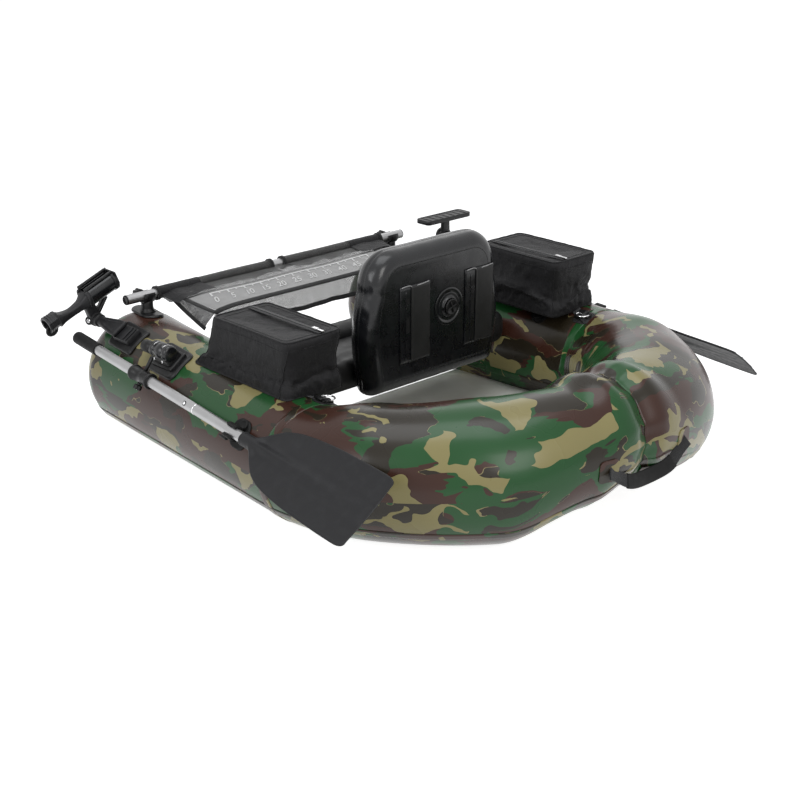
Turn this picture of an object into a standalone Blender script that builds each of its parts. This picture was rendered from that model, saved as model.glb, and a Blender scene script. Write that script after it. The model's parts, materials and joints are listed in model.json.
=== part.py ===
"""Float tube with a ruler apron, seat, oars and gear mounts.

Frame: +X to starboard, +Y to the bow, +Z up, z = 0 on the ground and x = 0 in
the centre plane. All sizes are in metres, angles in radians.
"""

import math

import bmesh
import bpy
from mathutils import Matrix, Vector

PORT = -1
STARBOARD = 1
SIDES = {"port": PORT, "starboard": STARBOARD}

# Clearance between neighbours that touch.
FIT = 0.0003

# The cross bar sets how far forward the tubes and all the bow fittings reach.
BAR_Y = 0.529

# Hull: two inflated chambers that meet in a pinched seam at the stern.
BAR_TO_TIP = 0.108
BOW_TIP_Y = BAR_Y + BAR_TO_TIP
NOSE_LENGTH = 0.100
BOW_TUBE_X = 0.4315
TURN_TUBE_X = 0.486
TURN_START_Y = -0.1775
SEAM_Y = -0.587
TURN_EASE = 0.175
SEAM_EASE = 0.218
SEAM_SWEEP = math.radians(9.6)
BOW_RADIUS = 0.148
TURN_RADIUS = 0.134
QUARTER_RADIUS = 0.148
LOBE_RADIUS = 0.156
RISE_RADIUS = 0.134
SWELL_RADIUS = 0.134
SEAM_RADIUS = 0.122
RISE_LIFT = 0.052
SWELL_LIFT = 0.074
SEAM_LIFT = 0.081
TURN_SHARES = (0.0, 0.30, 0.60, 0.82, 0.92, 1.0)
TURN_RADII = (TURN_RADIUS, QUARTER_RADIUS, LOBE_RADIUS, RISE_RADIUS, SWELL_RADIUS, SEAM_RADIUS)
TURN_LIFTS = (0.0, 0.0, 0.0, RISE_LIFT, SWELL_LIFT, SEAM_LIFT)
SQUARE_UP_SHARE = 0.72
GROUND_PRESS = 0.0022
HULL_SIDES = 32
NOSE_RINGS = 7
NOSE_START_SHARE = 0.3
SIDE_RINGS = 2
TURN_RINGS = 20

# Floor panel in the rear well.
FLOOR_Z = 0.034
FLOOR_THICKNESS = 0.005
FLOOR_FRONT_Y = 0.215
FLOOR_HALF_WIDTH = 0.420
FLOOR_STERN_DEPTH = 0.560
FLOOR_STEPS = 20
FLOOR_LIP = 0.0025
FLOOR_LIP_ROOM = 0.0035

# Seat cushion and its thigh roll.
SEAT_HALF_WIDTH = 0.346
SEAT_FRONT_Y = 0.190
SEAT_BOTTOM_Z = 0.172
SEAT_TOP_Z = 0.252
SEAT_CORNER = 0.035
SEAT_LEVEL_SHARES = (0.0, 0.10, 0.30, 0.62, 0.88, 0.97, 1.0)
SEAT_INSET_SHARES = (0.50, 0.14, 0.0, 0.0, 0.26, 0.62, 1.0)
SEAT_INSET = 0.034
ROLL_RADIUS = 0.034
ROLL_HALF_LENGTH = 0.300
ROLL_Y = 0.160
ROLL_Z = 0.252
ROLL_END = 0.020

# Backrest cushion: an upright slab, rear face flat for the channels.
BACK_REAR_Y = -0.080
BACK_FRONT_Y = 0.0
SEAT_REAR_Y = BACK_FRONT_Y + FIT
BACK_BOTTOM_Z = 0.172
BACK_TOP_Z = 0.516
BACK_BOTTOM_HALF = 0.212
BACK_MIDDLE_HALF = 0.224
BACK_TOP_HALF = 0.206
BACK_TOP_CORNER = 0.080
BACK_BOTTOM_CORNER = 0.024
BACK_TOP_STEPS = 7
BACK_LOW_STEPS = 4
BACK_EDGE_INSET = 0.026
BACK_SEAM_PINCH = 0.0022
BACK_DEPTH_SHARES = (0.0, 0.045, 0.16, 0.40, 0.50, 0.60, 0.84, 0.955, 1.0)
BACK_INSET_SHARES = (1.0, 0.50, 0.12, 0.0, 0.0, 0.0, 0.12, 0.50, 1.0)
BACK_SEAM_RING = 4

CHANNEL_PORT_X = -0.077
CHANNEL_STARBOARD_X = 0.139
CHANNEL_X = {PORT: CHANNEL_PORT_X, STARBOARD: CHANNEL_STARBOARD_X}
CHANNEL_WIDTH = 0.098
CHANNEL_HEIGHT = 0.188
CHANNEL_Z = 0.336
CHANNEL_SHEET = 0.0026
FLAP_WIDTH = 0.064
FLAP_HEIGHT = 0.182
FLAP_RAISE = 0.0046
CHANNEL_BEVEL = 0.0008

BACK_VALVE_X = 0.036
BACK_VALVE_Z = 0.352
VALVE_FLANGE_RADIUS = 0.036
VALVE_FLANGE = 0.0025
VALVE_BODY_RADIUS = 0.0225
VALVE_BODY = 0.007
VALVE_CAP_RADIUS = 0.0195
VALVE_CAP = 0.005
VALVE_WING_HEIGHT = 0.004
VALVE_WING_WIDTH = 0.005
VALVE_WING_LENGTH = 0.030

HULL_VALVE_Y = -0.060
HULL_VALVE_ANGLE = math.radians(128)
HULL_VALVE_RADIUS = 0.021
HULL_VALVE_RAISE = 0.006
HULL_VALVE_CAP_RADIUS = 0.014
HULL_VALVE_CAP_RAISE = 0.013
HULL_VALVE_ROOT = 0.010

# Cross bar over the bow ends of the tubes.
BAR_Z = 0.336
BAR_PORT_END = 0.474
BAR_STARBOARD_END = 0.452
BAR_ENDS = {PORT: BAR_PORT_END, STARBOARD: BAR_STARBOARD_END}
BAR_RADIUS = 0.0125
BAR_BORE = 0.0108
PLUG_HEAD = 0.0035
PLUG_DEPTH = 0.016

CLAMP_X = 0.414
CLAMP_PAD_LENGTH = 0.104
CLAMP_PAD_WIDTH = 0.064
CLAMP_PAD = 0.004
CLAMP_POST_RADIUS = 0.0145
CLAMP_SADDLE_WIDTH = 0.030
CLAMP_SADDLE_WALL = 0.006
CLAMP_SADDLE_TOP = 0.006
CLAMP_LUG = 0.010
KNOB_RADIUS = 0.0155
KNOB_LENGTH = 0.016
KNOB_SHANK_RADIUS = 0.004
KNOB_SHANK = 0.0085
KNOB_GAP = 0.0010
KNOB_LOBES = 8

# Apron: mesh table from the bar to its hanging rear band, with side gussets.
APRON_SHEET = 0.0016
APRON_FRONT_GAP = 0.0006
SLEEVE_RADIUS = 0.0150
PORT_SLEEVE_X = (-0.387, -0.022)
STARBOARD_SLEEVE_X = (0.016, 0.368)
SLEEVES = {"port": PORT_SLEEVE_X, "starboard": STARBOARD_SLEEVE_X}
APRON_X = (0.372, 0.345, 0.300, 0.200, 0.070)
APRON_FRONT_Z = (0.330, 0.335, 0.337, 0.337, 0.336)
APRON_DEPTH = (0.129, 0.167, 0.191, 0.195, 0.195)
APRON_REAR_Z = (0.2775, 0.315, 0.333, 0.3335, 0.3325)
BAND_DEPTH = (0.139, 0.169, 0.192, 0.196, 0.196)
BAND_Z = (0.2745, 0.283, 0.284, 0.283, 0.282)
APRON_SPAN_STEPS = 4
APRON_SAG = 0.003

# Cargo bags on the tube tops.
BAG_INNER_X = 0.342
BAG_OUTER_X = 0.514
BAG_REAR_Y = -0.140
BAR_TO_BAG_FRONT = 0.321
BAR_TO_BAG_TOP = 0.394
BAG_FRONT_LOW_Y = BAR_Y - BAR_TO_BAG_FRONT
BAG_FRONT_TOP_Y = BAR_Y - BAR_TO_BAG_TOP
BAG_BOTTOM_Z = 0.262
BAG_TOP_Z = 0.400
BAG_STARBOARD_OUT = 0.010
BAG_STARBOARD_UP = 0.008
BAG_SHIFT = {PORT: (0.0, 0.0), STARBOARD: (BAG_STARBOARD_OUT, BAG_STARBOARD_UP)}
BAG_CORNER = 0.020
BAG_PUFF = 0.006
BAG_INSET = 0.014
BAG_LEVEL_SHARES = (0.0, 0.05, 0.30, 0.60, 0.88, 0.96, 1.0)
BAG_INSET_SHARES = (0.25, 0.0, 0.0, 0.0, 0.0, 0.30, 1.0)
BAG_PUFF_SHARES = (0.3, 0.6, 1.0, 1.0, 0.6, 0.4, 0.0)
BAG_CORNER_STEPS = 4
ZIP_X = 0.402
ZIP_Y = -0.105
ZIP_SIZE = (0.009, 0.016, 0.004)
ZIP_TAB = (0.006, 0.020, 0.0016)
ZIP_BEVEL = 0.0006

# D-rings behind the bags.
RING_PATCH_Y = -0.172
RING_PATCH_ANGLE = math.radians(112)
RING_PATCH_LENGTH = 0.046
RING_PATCH_WIDTH = 0.052
RING_PATCH = 0.0022
RING_LUG_RADIUS = 0.0046
RING_LUG_LENGTH = 0.022
RING_LUG_RISE = 0.0100
RING_WIRE = 0.0019
RING_HALF = 0.0165
RING_SEGMENTS = 14
RING_TILT = math.radians(20)

# Stern carrying handle.
HANDLE_WIDTH = 0.030
HANDLE_SHEET = 0.0024
HANDLE_X = (0.132, 0.104, 0.070, 0.0)
HANDLE_STANDOFF = (0.0036, 0.0060, 0.0180, 0.0330)
HANDLE_Z = (0.176, 0.160, 0.138, 0.128)
HANDLE_PATCH_HALF = 0.026
HANDLE_PATCH_X = 0.128
HANDLE_PATCH = 0.0022
HANDLE_PATCH_LEAN = 0.25

# Oars, stowed along the tubes. The frame of an oar starts at its collar.
COLLAR_X = 0.604
COLLAR_Z = 0.237
BAR_TO_COLLAR = 0.252
COLLAR_POINT = (COLLAR_X, BAR_Y - BAR_TO_COLLAR, COLLAR_Z)
NECK_X = 0.620
NECK_Z = 0.207
COLLAR_TO_NECK = 0.426
NECK_POINT = (NECK_X, COLLAR_POINT[1] - COLLAR_TO_NECK, NECK_Z)
SHAFT_RADIUS = 0.0125
SHAFT_BORE = 0.0105
INNER_RADIUS = 0.0102
INNER_BORE = 0.0085
GRIP_START = -0.297
GRIP_END = -0.195
GRIP_RADIUS = 0.0155
GRIP_SLEEVE = 0.0128
GRIP_CROWN = 0.004
UPPER_START = -0.290
UPPER_END = 0.222
LOWER_END = 0.445
INNER_START = 0.120
BUTTON_AT = 0.188
BUTTON_RADIUS = 0.0040
BUTTON_HOLE = 0.0043
BUTTON_FOOT = 0.0107
BUTTON_TOP = 0.0148
COLLAR_HALF = 0.036
COLLAR_RADIUS = 0.0168
COLLAR_FLANGE = 0.0190
COLLAR_FLANGE_LENGTH = 0.006
PIN_RADIUS = 0.0045
PIN_START = 0.0150
PIN_END = 0.052
STAR_START = 0.0172
STAR_RADIUS = 0.0100
STAR_NECK_RADIUS = 0.0045
STAR_NECK = 0.004
STAR_LENGTH = 0.011
STAR_LOBES = 6
BLADE_SPINE = (0.400, 0.430, 0.462, 0.490, 0.530, 0.580, 0.650, 0.740, 0.800, 0.812)
BLADE_HALF_WIDTH = (0.0155, 0.0162, 0.040, 0.060, 0.0730, 0.0800, 0.0850, 0.0872, 0.0835, 0.0760)
BLADE_RIDGE = (0.0155, 0.0158, 0.0152, 0.0138, 0.0118, 0.0095, 0.0066, 0.0030, 0.0022, 0.0020)
BLADE_LIP = 0.0020
BLADE_ACROSS_SHARES = (-1.0, -0.96, -0.62, -0.34, -0.17, 0.0, 0.17, 0.34, 0.62, 0.96, 1.0)
BLADE_RIDGE_WIDTH = 0.017
BLADE_ROUND_RINGS = 2
BLADE_TURNS = {PORT: math.radians(52), STARBOARD: math.radians(54)}
SOCKET_BORE = 0.0128

# Oarlock: base on the tube, lock block and cylinder knob.
LOCK_BEHIND_COLLAR = 0.003
LOCK_Y = COLLAR_POINT[1] - LOCK_BEHIND_COLLAR
LOCK_ANGLE = math.radians(57)
LOCK_LENGTH = 0.118
LOCK_WIDTH = 0.086
LOCK_PLATE = 0.005
LOCK_BLOCK = (0.036, 0.064, 0.052)
LOCK_BLOCK_LOW = 0.003
LOCK_BLOCK_Y = -0.001
LOCK_BLOCK_BEVEL = 0.005
LOCK_HOLE = 0.0048
LOCK_KNOB_RADIUS = 0.0150
LOCK_KNOB_LENGTH = 0.046
LOCK_KNOB_RISE = 0.025
LOCK_KNOB_BEVEL = 0.0012

# Rubber clip that holds the lower shaft.
CLIP_AT = 0.357
CLIP_PAD_LENGTH = 0.058
CLIP_PAD_WIDTH = 0.070
CLIP_PAD = 0.0035
CLIP_LENGTH = 0.030
CLIP_OUTER = 0.0185
CLIP_BORE = 0.0130
CLIP_ROOT = 0.020
CLIP_ROOT_LENGTH = 0.027
CLIP_MOUTH_DEPTH = 0.0222
CLIP_MOUTH_ROOM = 0.0004

# Rod holder on the port bow.
BAR_TO_ROD_BASE = 0.067
ROD_BASE_Y = BAR_Y - BAR_TO_ROD_BASE
ROD_BASE_ANGLE = math.radians(57)
ROD_BASE_LENGTH = 0.106
ROD_BASE_WIDTH = 0.078
ROD_BASE_PLATE = 0.005
RAIL_SIZE = (0.040, 0.060, 0.014)
RAIL_LOW = 0.002
STEM_AT = (0.015, 0.045, 0.090, 0.111)
STEM_HALF_WIDTH = (0.022, 0.020, 0.013, 0.0125)
STEM_HALF_HEIGHT = (0.006, 0.008, 0.011, 0.0125)
STEM_RISE = (0.0215, 0.022, 0.024, 0.025)
STEM_SIDES = 20
BAND_RADIUS = 0.0165
BAND_LENGTH = 0.012
HUB_GAP = 0.0012
HUB_RADIUS = 0.0175
HUB_LENGTH = 0.024
HUB_PIN_RADIUS = 0.0050
HUB_PIN_LENGTH = 0.030
CRADLE_TILT = math.radians(22)
CRADLE_RISE = 0.062
CRADLE_BUTT = -0.122
CRADLE_TIP = 0.088
CRADLE_TUBE_START = -0.004
CRADLE_RADIUS = 0.0275
CRADLE_BORE = 0.0225
CRADLE_SLOT = 0.028
BUTT_RADIUS = 0.0235
BUTT_BORE = 0.0165
BUTT_LENGTH = 0.036
BUTT_SIDES = 8
NECK_WIDTH = 0.022
NECK_HEIGHT = 0.022
NECK_DROP = 0.010
YOKE_WIDTH = 0.030
YOKE_THICKNESS = 0.020

# Gear mount on the starboard bow.
BAR_TO_GEAR_BASE = 0.134
GEAR_BASE_Y = BAR_Y - BAR_TO_GEAR_BASE
GEAR_ANGLE = math.radians(80)
GEAR_LENGTH = 0.110
GEAR_WIDTH = 0.080
GEAR_PLATE = 0.005
GEAR_BLOCK = (0.038, 0.060, 0.036)
GEAR_BLOCK_BEVEL = 0.005
GEAR_KNOB_RADIUS = 0.0140
GEAR_KNOB_LENGTH = 0.040
GEAR_KNOB_RISE = 0.0245
GEAR_PIVOT_X = 0.466
GEAR_PIVOT_AFT = 0.027
GEAR_PIVOT_Y = GEAR_BASE_Y - GEAR_PIVOT_AFT
GEAR_PIVOT_Z = 0.362
GEAR_EAR_RADIUS = 0.019
GEAR_EAR = 0.012
GEAR_EAR_GAP = 0.0010
GEAR_EAR_FOOT = 0.046
GEAR_FOOT_WIDTH = 0.0304
GEAR_TABLE_SIZE = (0.168, 0.050, 0.012)
GEAR_TABLE_Z = 0.414
GEAR_TABLE_CHAMFER = 0.012
GEAR_NECK_WIDTH = 0.030
GEAR_SCREW_RADIUS = 0.0042
GEAR_SCREW_BORE = 0.0046
GEAR_KNURL_RADIUS = 0.0135
GEAR_KNURL = 0.011
GEAR_KNURL_LOBES = 12

SMOOTH_ANGLE = math.radians(38)
ROUND_SIDES = 24
SMALL_SIDES = 16
LOBE_DEPTH_SHARE = 0.12
OVERREACH = 2.0

UP = Vector((0.0, 0.0, 1.0))
ALONG = Vector((0.0, 1.0, 0.0))


def clear_scene():
    for old in list(bpy.data.objects):
        bpy.data.objects.remove(old, do_unlink=True)


def new_collection(name):
    group = bpy.data.collections.new(name)
    bpy.context.scene.collection.children.link(group)
    return group


def make_material(name, colour, roughness, metallic=0.0):
    material = bpy.data.materials.new(name)
    material.use_nodes = True
    shader = material.node_tree.nodes["Principled BSDF"]
    shader.inputs["Base Color"].default_value = (*colour, 1.0)
    shader.inputs["Roughness"].default_value = roughness
    shader.inputs["Metallic"].default_value = metallic
    return material


def frame(origin, x_axis, z_axis):
    """A placement from its origin, its Z axis and a direction near its X axis."""
    z = Vector(z_axis).normalized()
    x = Vector(x_axis)
    x = (x - z * x.dot(z)).normalized()
    turned_frame = Matrix((x, z.cross(x), z)).transposed().to_4x4()
    turned_frame.translation = Vector(origin)
    return turned_frame


def shifted(placement, x, y, z):
    return placement @ Matrix.Translation((x, y, z))


def solid(name, mesh, placement):
    """A solid in the tool collection, until it is shown as a piece."""
    mesh.shade_smooth()
    mesh.set_sharp_from_angle(angle=SMOOTH_ANGLE)
    item = bpy.data.objects.new(name, mesh)
    item.matrix_world = placement
    item.hide_render = True
    item.display_type = "WIRE"
    tools.objects.link(item)
    return item


def from_bmesh(name, shell, placement):
    bmesh.ops.recalc_face_normals(shell, faces=shell.faces)
    mesh = bpy.data.meshes.new(name)
    shell.to_mesh(mesh)
    shell.free()
    return solid(name, mesh, placement)


def skin(name, rings, placement=Matrix.Identity(4)):
    """Skin a row of closed rings and cap both ends."""
    shell = bmesh.new()
    rows = [[shell.verts.new(point) for point in ring] for ring in rings]
    count = len(rings[0])
    for near, far in zip(rows, rows[1:]):
        for i in range(count):
            j = (i + 1) % count
            shell.faces.new((near[i], near[j], far[j], far[i]))
    shell.faces.new(rows[0])
    shell.faces.new(rows[-1])
    return from_bmesh(name, shell, placement)


def sheet(name, rows, thickness):
    """A cloth through a grid of points, with its wall on the underside."""
    shell = bmesh.new()
    grid = [[shell.verts.new(point) for point in row] for row in rows]
    for near, far in zip(grid, grid[1:]):
        for i in range(len(near) - 1):
            shell.faces.new((near[i], near[i + 1], far[i + 1], far[i]))
    bmesh.ops.triangulate(shell, faces=shell.faces, quad_method="FIXED")
    mesh = bpy.data.meshes.new(name)
    shell.to_mesh(mesh)
    shell.free()
    item = solid(name, mesh, Matrix.Identity(4))
    wall = item.modifiers.new("wall", "SOLIDIFY")
    wall.thickness = thickness
    wall.offset = -1.0
    return item


def block(name, size, placement, bevel=0.0):
    shell = bmesh.new()
    bmesh.ops.create_cube(shell, size=1.0, matrix=Matrix.Diagonal((*size, 1.0)))
    item = from_bmesh(name, shell, placement)
    if bevel:
        round_edges(item, bevel)
    return item


def round_edges(item, width):
    rounding = item.modifiers.new("rounding", "BEVEL")
    rounding.width = width
    rounding.segments = 2
    rounding.limit_method = "ANGLE"


def drum(name, radius, length, placement, sides=ROUND_SIDES):
    """A cylinder along the placement's Z axis, starting at its origin."""
    rings = [[(radius * math.cos(a), radius * math.sin(a), height) for a in turns(sides)]
             for height in (0.0, length)]
    return skin(name, rings, placement)


def lobed(name, radius, length, lobes, placement):
    """A hand knob: a cylinder with a waved rim."""
    depth = radius * LOBE_DEPTH_SHARE
    rings = []
    for height in (0.0, length):
        rings.append([((radius - depth * (1 + math.cos(lobes * a)) / 2) * math.cos(a),
                       (radius - depth * (1 + math.cos(lobes * a)) / 2) * math.sin(a), height)
                      for a in turns(lobes * 4)])
    return skin(name, rings, placement)


def turned(name, profile, placement, sides=ROUND_SIDES):
    """Turn a profile of (radius, height) pairs round the placement's Z axis."""
    mesh = bpy.data.meshes.new(name)
    closed = profile[0] == profile[-1]
    points = [(radius, 0.0, height) for radius, height in profile]
    if closed:
        points = points[:-1]
    edges = [(i, i + 1) for i in range(len(points) - 1)]
    if closed:
        edges.append((len(points) - 1, 0))
    mesh.from_pydata(points, edges, [])
    item = solid(name, mesh, placement)
    screw = item.modifiers.new("turning", "SCREW")
    screw.steps = sides
    screw.render_steps = sides
    screw.use_merge_vertices = True
    screw.merge_threshold = FIT / 10
    screw.use_smooth_shade = True
    return item


def pipe(name, outer, bore, start, end, placement, sides=ROUND_SIDES):
    """A tube between two heights on the placement's Z axis."""
    profile = ((outer, end), (outer, start), (bore, start), (bore, end), (outer, end))
    return turned(name, profile, placement, sides)


def turns(sides):
    return [2 * math.pi * k / sides for k in range(sides)]


def settle():
    """Hang all solids on one empty, so that the outline's middle is at x = y = 0."""
    bpy.context.view_layer.update()
    graph = bpy.context.evaluated_depsgraph_get()
    points = []
    for item in pieces.objects:
        whole = item.evaluated_get(graph)
        mesh = whole.to_mesh()
        points += [item.matrix_world @ vertex.co for vertex in mesh.vertices]
        whole.to_mesh_clear()
    middle_x = (min(p.x for p in points) + max(p.x for p in points)) / 2
    middle_y = (min(p.y for p in points) + max(p.y for p in points)) / 2
    carrier = bpy.data.objects.new("float_tube_middle", None)
    carrier.location = (-middle_x, -middle_y, 0.0)
    bpy.context.scene.collection.objects.link(carrier)
    for item in list(pieces.objects) + list(tools.objects):
        item.parent = carrier


def combine(item, tool, operation):
    step = item.modifiers.new(operation.lower(), "BOOLEAN")
    step.object = tool
    step.operation = operation
    step.solver = "EXACT"


def weld(item, *others):
    for other in others:
        combine(item, other, "UNION")


def carve(item, *others):
    for other in others:
        combine(item, other, "DIFFERENCE")


def show(item, material):
    """Turn a solid into one of the float tube's pieces."""
    tools.objects.unlink(item)
    pieces.objects.link(item)
    item.hide_render = False
    item.display_type = "TEXTURED"
    item.data.materials.clear()
    item.data.materials.append(material)
    return item


def blend(value, knots, heights):
    """Smooth steps from knot to knot."""
    for i in range(len(knots) - 1):
        if value <= knots[i + 1]:
            share = (value - knots[i]) / (knots[i + 1] - knots[i])
            share = share * share * (3 - 2 * share)
            return heights[i] + (heights[i + 1] - heights[i]) * share
    return heights[-1]


def chamber_stations():
    """Centre, radius and heading along a starboard chamber, from nose to seam."""
    stations = []
    nose_y = BOW_TIP_Y - NOSE_LENGTH
    for k in range(NOSE_RINGS):
        lean = math.pi / 2 * (1 - (k + NOSE_START_SHARE) / NOSE_RINGS)
        stations.append((Vector((BOW_TUBE_X, nose_y + NOSE_LENGTH * math.sin(lean), BOW_RADIUS)),
                         BOW_RADIUS * math.cos(lean), 0.0))
    for k in range(SIDE_RINGS):
        x, radius = tube_at(nose_y + (TURN_START_Y - nose_y) * k / SIDE_RINGS)
        stations.append((Vector((x, nose_y + (TURN_START_Y - nose_y) * k / SIDE_RINGS, radius)),
                         radius, 0.0))
    start = Vector((TURN_TUBE_X, TURN_START_Y))
    seam = Vector((0.0, SEAM_Y))
    out = start - Vector((0.0, TURN_EASE))
    back = seam + SEAM_EASE * Vector((math.cos(SEAM_SWEEP), -math.sin(SEAM_SWEEP)))
    for k in range(TURN_RINGS + 1):
        u = k / TURN_RINGS
        v = 1 - u
        spot = v ** 3 * start + 3 * v * v * u * out + 3 * v * u * u * back + u ** 3 * seam
        run = v * v * (out - start) + 2 * v * u * (back - out) + u * u * (seam - back)
        heading = math.atan2(-run.x, -run.y)
        square = max(0.0, (u - SQUARE_UP_SHARE) / (1 - SQUARE_UP_SHARE))
        heading += (math.pi / 2 - heading) * square
        radius = blend(u, TURN_SHARES, TURN_RADII)
        height = radius + blend(u, TURN_SHARES, TURN_LIFTS)
        stations.append((Vector((spot.x, spot.y, height)), radius, heading))
    return stations


def tube_at(y):
    """Centre line x and radius of a straight tube at y."""
    share = (BOW_TIP_Y - NOSE_LENGTH - y) / (BOW_TIP_Y - NOSE_LENGTH - TURN_START_Y)
    return (BOW_TUBE_X + (TURN_TUBE_X - BOW_TUBE_X) * share,
            BOW_RADIUS + (TURN_RADIUS - BOW_RADIUS) * share)


def chamber(name, side, grow=0.0):
    """One chamber, or its skin grown outwards as a cutting tool."""
    rings = []
    for centre, radius, heading in chamber_stations():
        across = Vector((math.cos(heading), -math.sin(heading), 0.0))
        swell = radius + grow
        ring = []
        for turn in turns(HULL_SIDES):
            angle = turn + math.pi / HULL_SIDES
            point = centre + swell * (math.cos(angle) * across + math.sin(angle) * UP)
            point.z = max(point.z - GROUND_PRESS, -grow)
            point.x = side * point.x
            ring.append(point)
        rings.append(ring)
    last = rings[-1]
    shift = side * (FIT / 2 - grow)
    for point in last:
        point.x = shift
    return skin(name, rings)


def tube_frame(side, y, angle, rise=0.0):
    """Placement on a tube: Z outwards, Y to the bow, origin on the skin."""
    x, radius = tube_at(y)
    normal = Vector((side * math.cos(angle), 0.0, math.sin(angle)))
    centre = Vector((side * x, y, radius - GROUND_PRESS))
    return frame(centre + (radius + rise) * normal, ALONG.cross(normal), normal)


def rounded(half_x, half_y, corner, steps=4):
    """Outline of a rectangle with round corners."""
    points = []
    for turn, (x, y) in enumerate(((1, 1), (-1, 1), (-1, -1), (1, -1))):
        for k in range(steps + 1):
            angle = math.pi / 2 * (turn + k / steps)
            points.append((x * (half_x - corner) + corner * math.cos(angle),
                           y * (half_y - corner) + corner * math.sin(angle)))
    return points


def prism(name, outline, low, high, placement):
    return skin(name, [[(x, y, height) for x, y in outline] for height in (low, high)], placement)


def patch(name, placement, outline, thickness, side):
    """A sheet that follows the tube's skin inside an outline."""
    depth = HANDLE_WIDTH
    item = prism(name, outline, -depth, depth, placement)
    combine(item, grown(side, FIT + thickness), "INTERSECT")
    carve(item, grown(side, FIT))
    return item


def grown(side, amount):
    key = (side, amount)
    if key not in hull_tools:
        hull_tools[key] = chamber("hull_tool", side, amount)
    return hull_tools[key]


def build_hull():
    for name, side in SIDES.items():
        show(chamber("hull_" + name, side), finishes["camo"])


def build_floor():
    outline = [(-FLOOR_HALF_WIDTH, FLOOR_FRONT_Y), (FLOOR_HALF_WIDTH, FLOOR_FRONT_Y)]
    for k in range(FLOOR_STEPS + 1):
        angle = -math.pi * k / FLOOR_STEPS
        outline.append((FLOOR_HALF_WIDTH * math.cos(angle), FLOOR_STERN_DEPTH * math.sin(angle)))
    floor = prism("floor_panel", outline, FLOOR_Z - FLOOR_THICKNESS, FLOOR_Z - FLOOR_LIP, Matrix.Identity(4))
    carve(floor, grown(PORT, FIT), grown(STARBOARD, FIT))
    top = prism("floor_top", outline, FLOOR_Z - FLOOR_THICKNESS + FIT, FLOOR_Z, Matrix.Identity(4))
    carve(top, grown(PORT, FLOOR_LIP_ROOM), grown(STARBOARD, FLOOR_LIP_ROOM))
    weld(floor, top)
    show(floor, finishes["pale_vinyl"])


def build_seat():
    middle_y = (SEAT_REAR_Y + SEAT_FRONT_Y) / 2
    half_y = (SEAT_FRONT_Y - SEAT_REAR_Y) / 2
    rings = []
    for level, inset in zip(SEAT_LEVEL_SHARES, SEAT_INSET_SHARES):
        height = SEAT_BOTTOM_Z + (SEAT_TOP_Z - SEAT_BOTTOM_Z) * level
        pull = SEAT_INSET * inset
        rings.append([(x, middle_y + y, height) for x, y in
                      rounded(SEAT_HALF_WIDTH - pull, half_y - pull / 2, SEAT_CORNER - pull / 2)])
    seat = skin("seat_cushion", rings)
    roll_start = frame((-ROLL_HALF_LENGTH, ROLL_Y, ROLL_Z), UP, (1, 0, 0))
    length = 2 * ROLL_HALF_LENGTH
    profile = ((0.0, length), (ROLL_RADIUS - ROLL_END / 2, length), (ROLL_RADIUS, length - ROLL_END),
               (ROLL_RADIUS, ROLL_END), (ROLL_RADIUS - ROLL_END / 2, 0.0), (0.0, 0.0))
    weld(seat, turned("seat_roll", profile, roll_start, ROUND_SIDES))
    carve(seat, grown(PORT, FIT), grown(STARBOARD, FIT))
    show(seat, finishes["black_vinyl"])


def backrest_outline(inset):
    """Outline of the backrest in x and z, pulled in by an inset."""
    low = (BACK_BOTTOM_HALF - inset, BACK_BOTTOM_Z + inset)
    high = (BACK_TOP_HALF - inset, BACK_TOP_Z - inset)
    middle = (BACK_MIDDLE_HALF - inset, (BACK_BOTTOM_Z + BACK_TOP_Z) / 2)
    low_corner = BACK_BOTTOM_CORNER - inset / 2
    high_corner = BACK_TOP_CORNER - inset / 2
    right = []
    for k in range(BACK_LOW_STEPS + 1):
        angle = -math.pi / 2 * (1 - k / BACK_LOW_STEPS)
        right.append((low[0] - low_corner * (1 - math.cos(angle)),
                      low[1] + low_corner * (1 + math.sin(angle))))
    right.append(middle)
    for k in range(BACK_TOP_STEPS + 1):
        angle = math.pi / 2 * k / BACK_TOP_STEPS
        right.append((high[0] - high_corner * (1 - math.cos(angle)),
                      high[1] - high_corner * (1 - math.sin(angle))))
    return right + [(-x, z) for x, z in reversed(right)]


def build_backrest():
    rings = []
    for ring, (depth, inset) in enumerate(zip(BACK_DEPTH_SHARES, BACK_INSET_SHARES)):
        y = BACK_REAR_Y + (BACK_FRONT_Y - BACK_REAR_Y) * depth
        pull = BACK_EDGE_INSET * inset
        if ring == BACK_SEAM_RING:
            pull = BACK_SEAM_PINCH
        rings.append([(x, y, z) for x, z in backrest_outline(pull)])
    show(skin("backrest_cushion", rings), finishes["black_vinyl"])
    for name, side in SIDES.items():
        build_channel(name, side)
    build_back_valve()


def build_channel(name, side):
    rear = BACK_REAR_Y - FIT
    at = frame((CHANNEL_X[side], rear - CHANNEL_SHEET / 2, CHANNEL_Z), (1, 0, 0), UP)
    sheet = block("channel_" + name, (CHANNEL_WIDTH, CHANNEL_SHEET, CHANNEL_HEIGHT), at)
    flap_x = CHANNEL_X[side] + (CHANNEL_WIDTH - FLAP_WIDTH) / 2 - CHANNEL_BEVEL
    flap_at = frame((flap_x, rear - (CHANNEL_SHEET + FLAP_RAISE) / 2, CHANNEL_Z), (1, 0, 0), UP)
    flap = block("channel_flap", (FLAP_WIDTH, CHANNEL_SHEET + FLAP_RAISE - FIT, FLAP_HEIGHT), flap_at,
                 CHANNEL_BEVEL)
    weld(sheet, flap)
    show(sheet, finishes["black_vinyl"])


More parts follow.
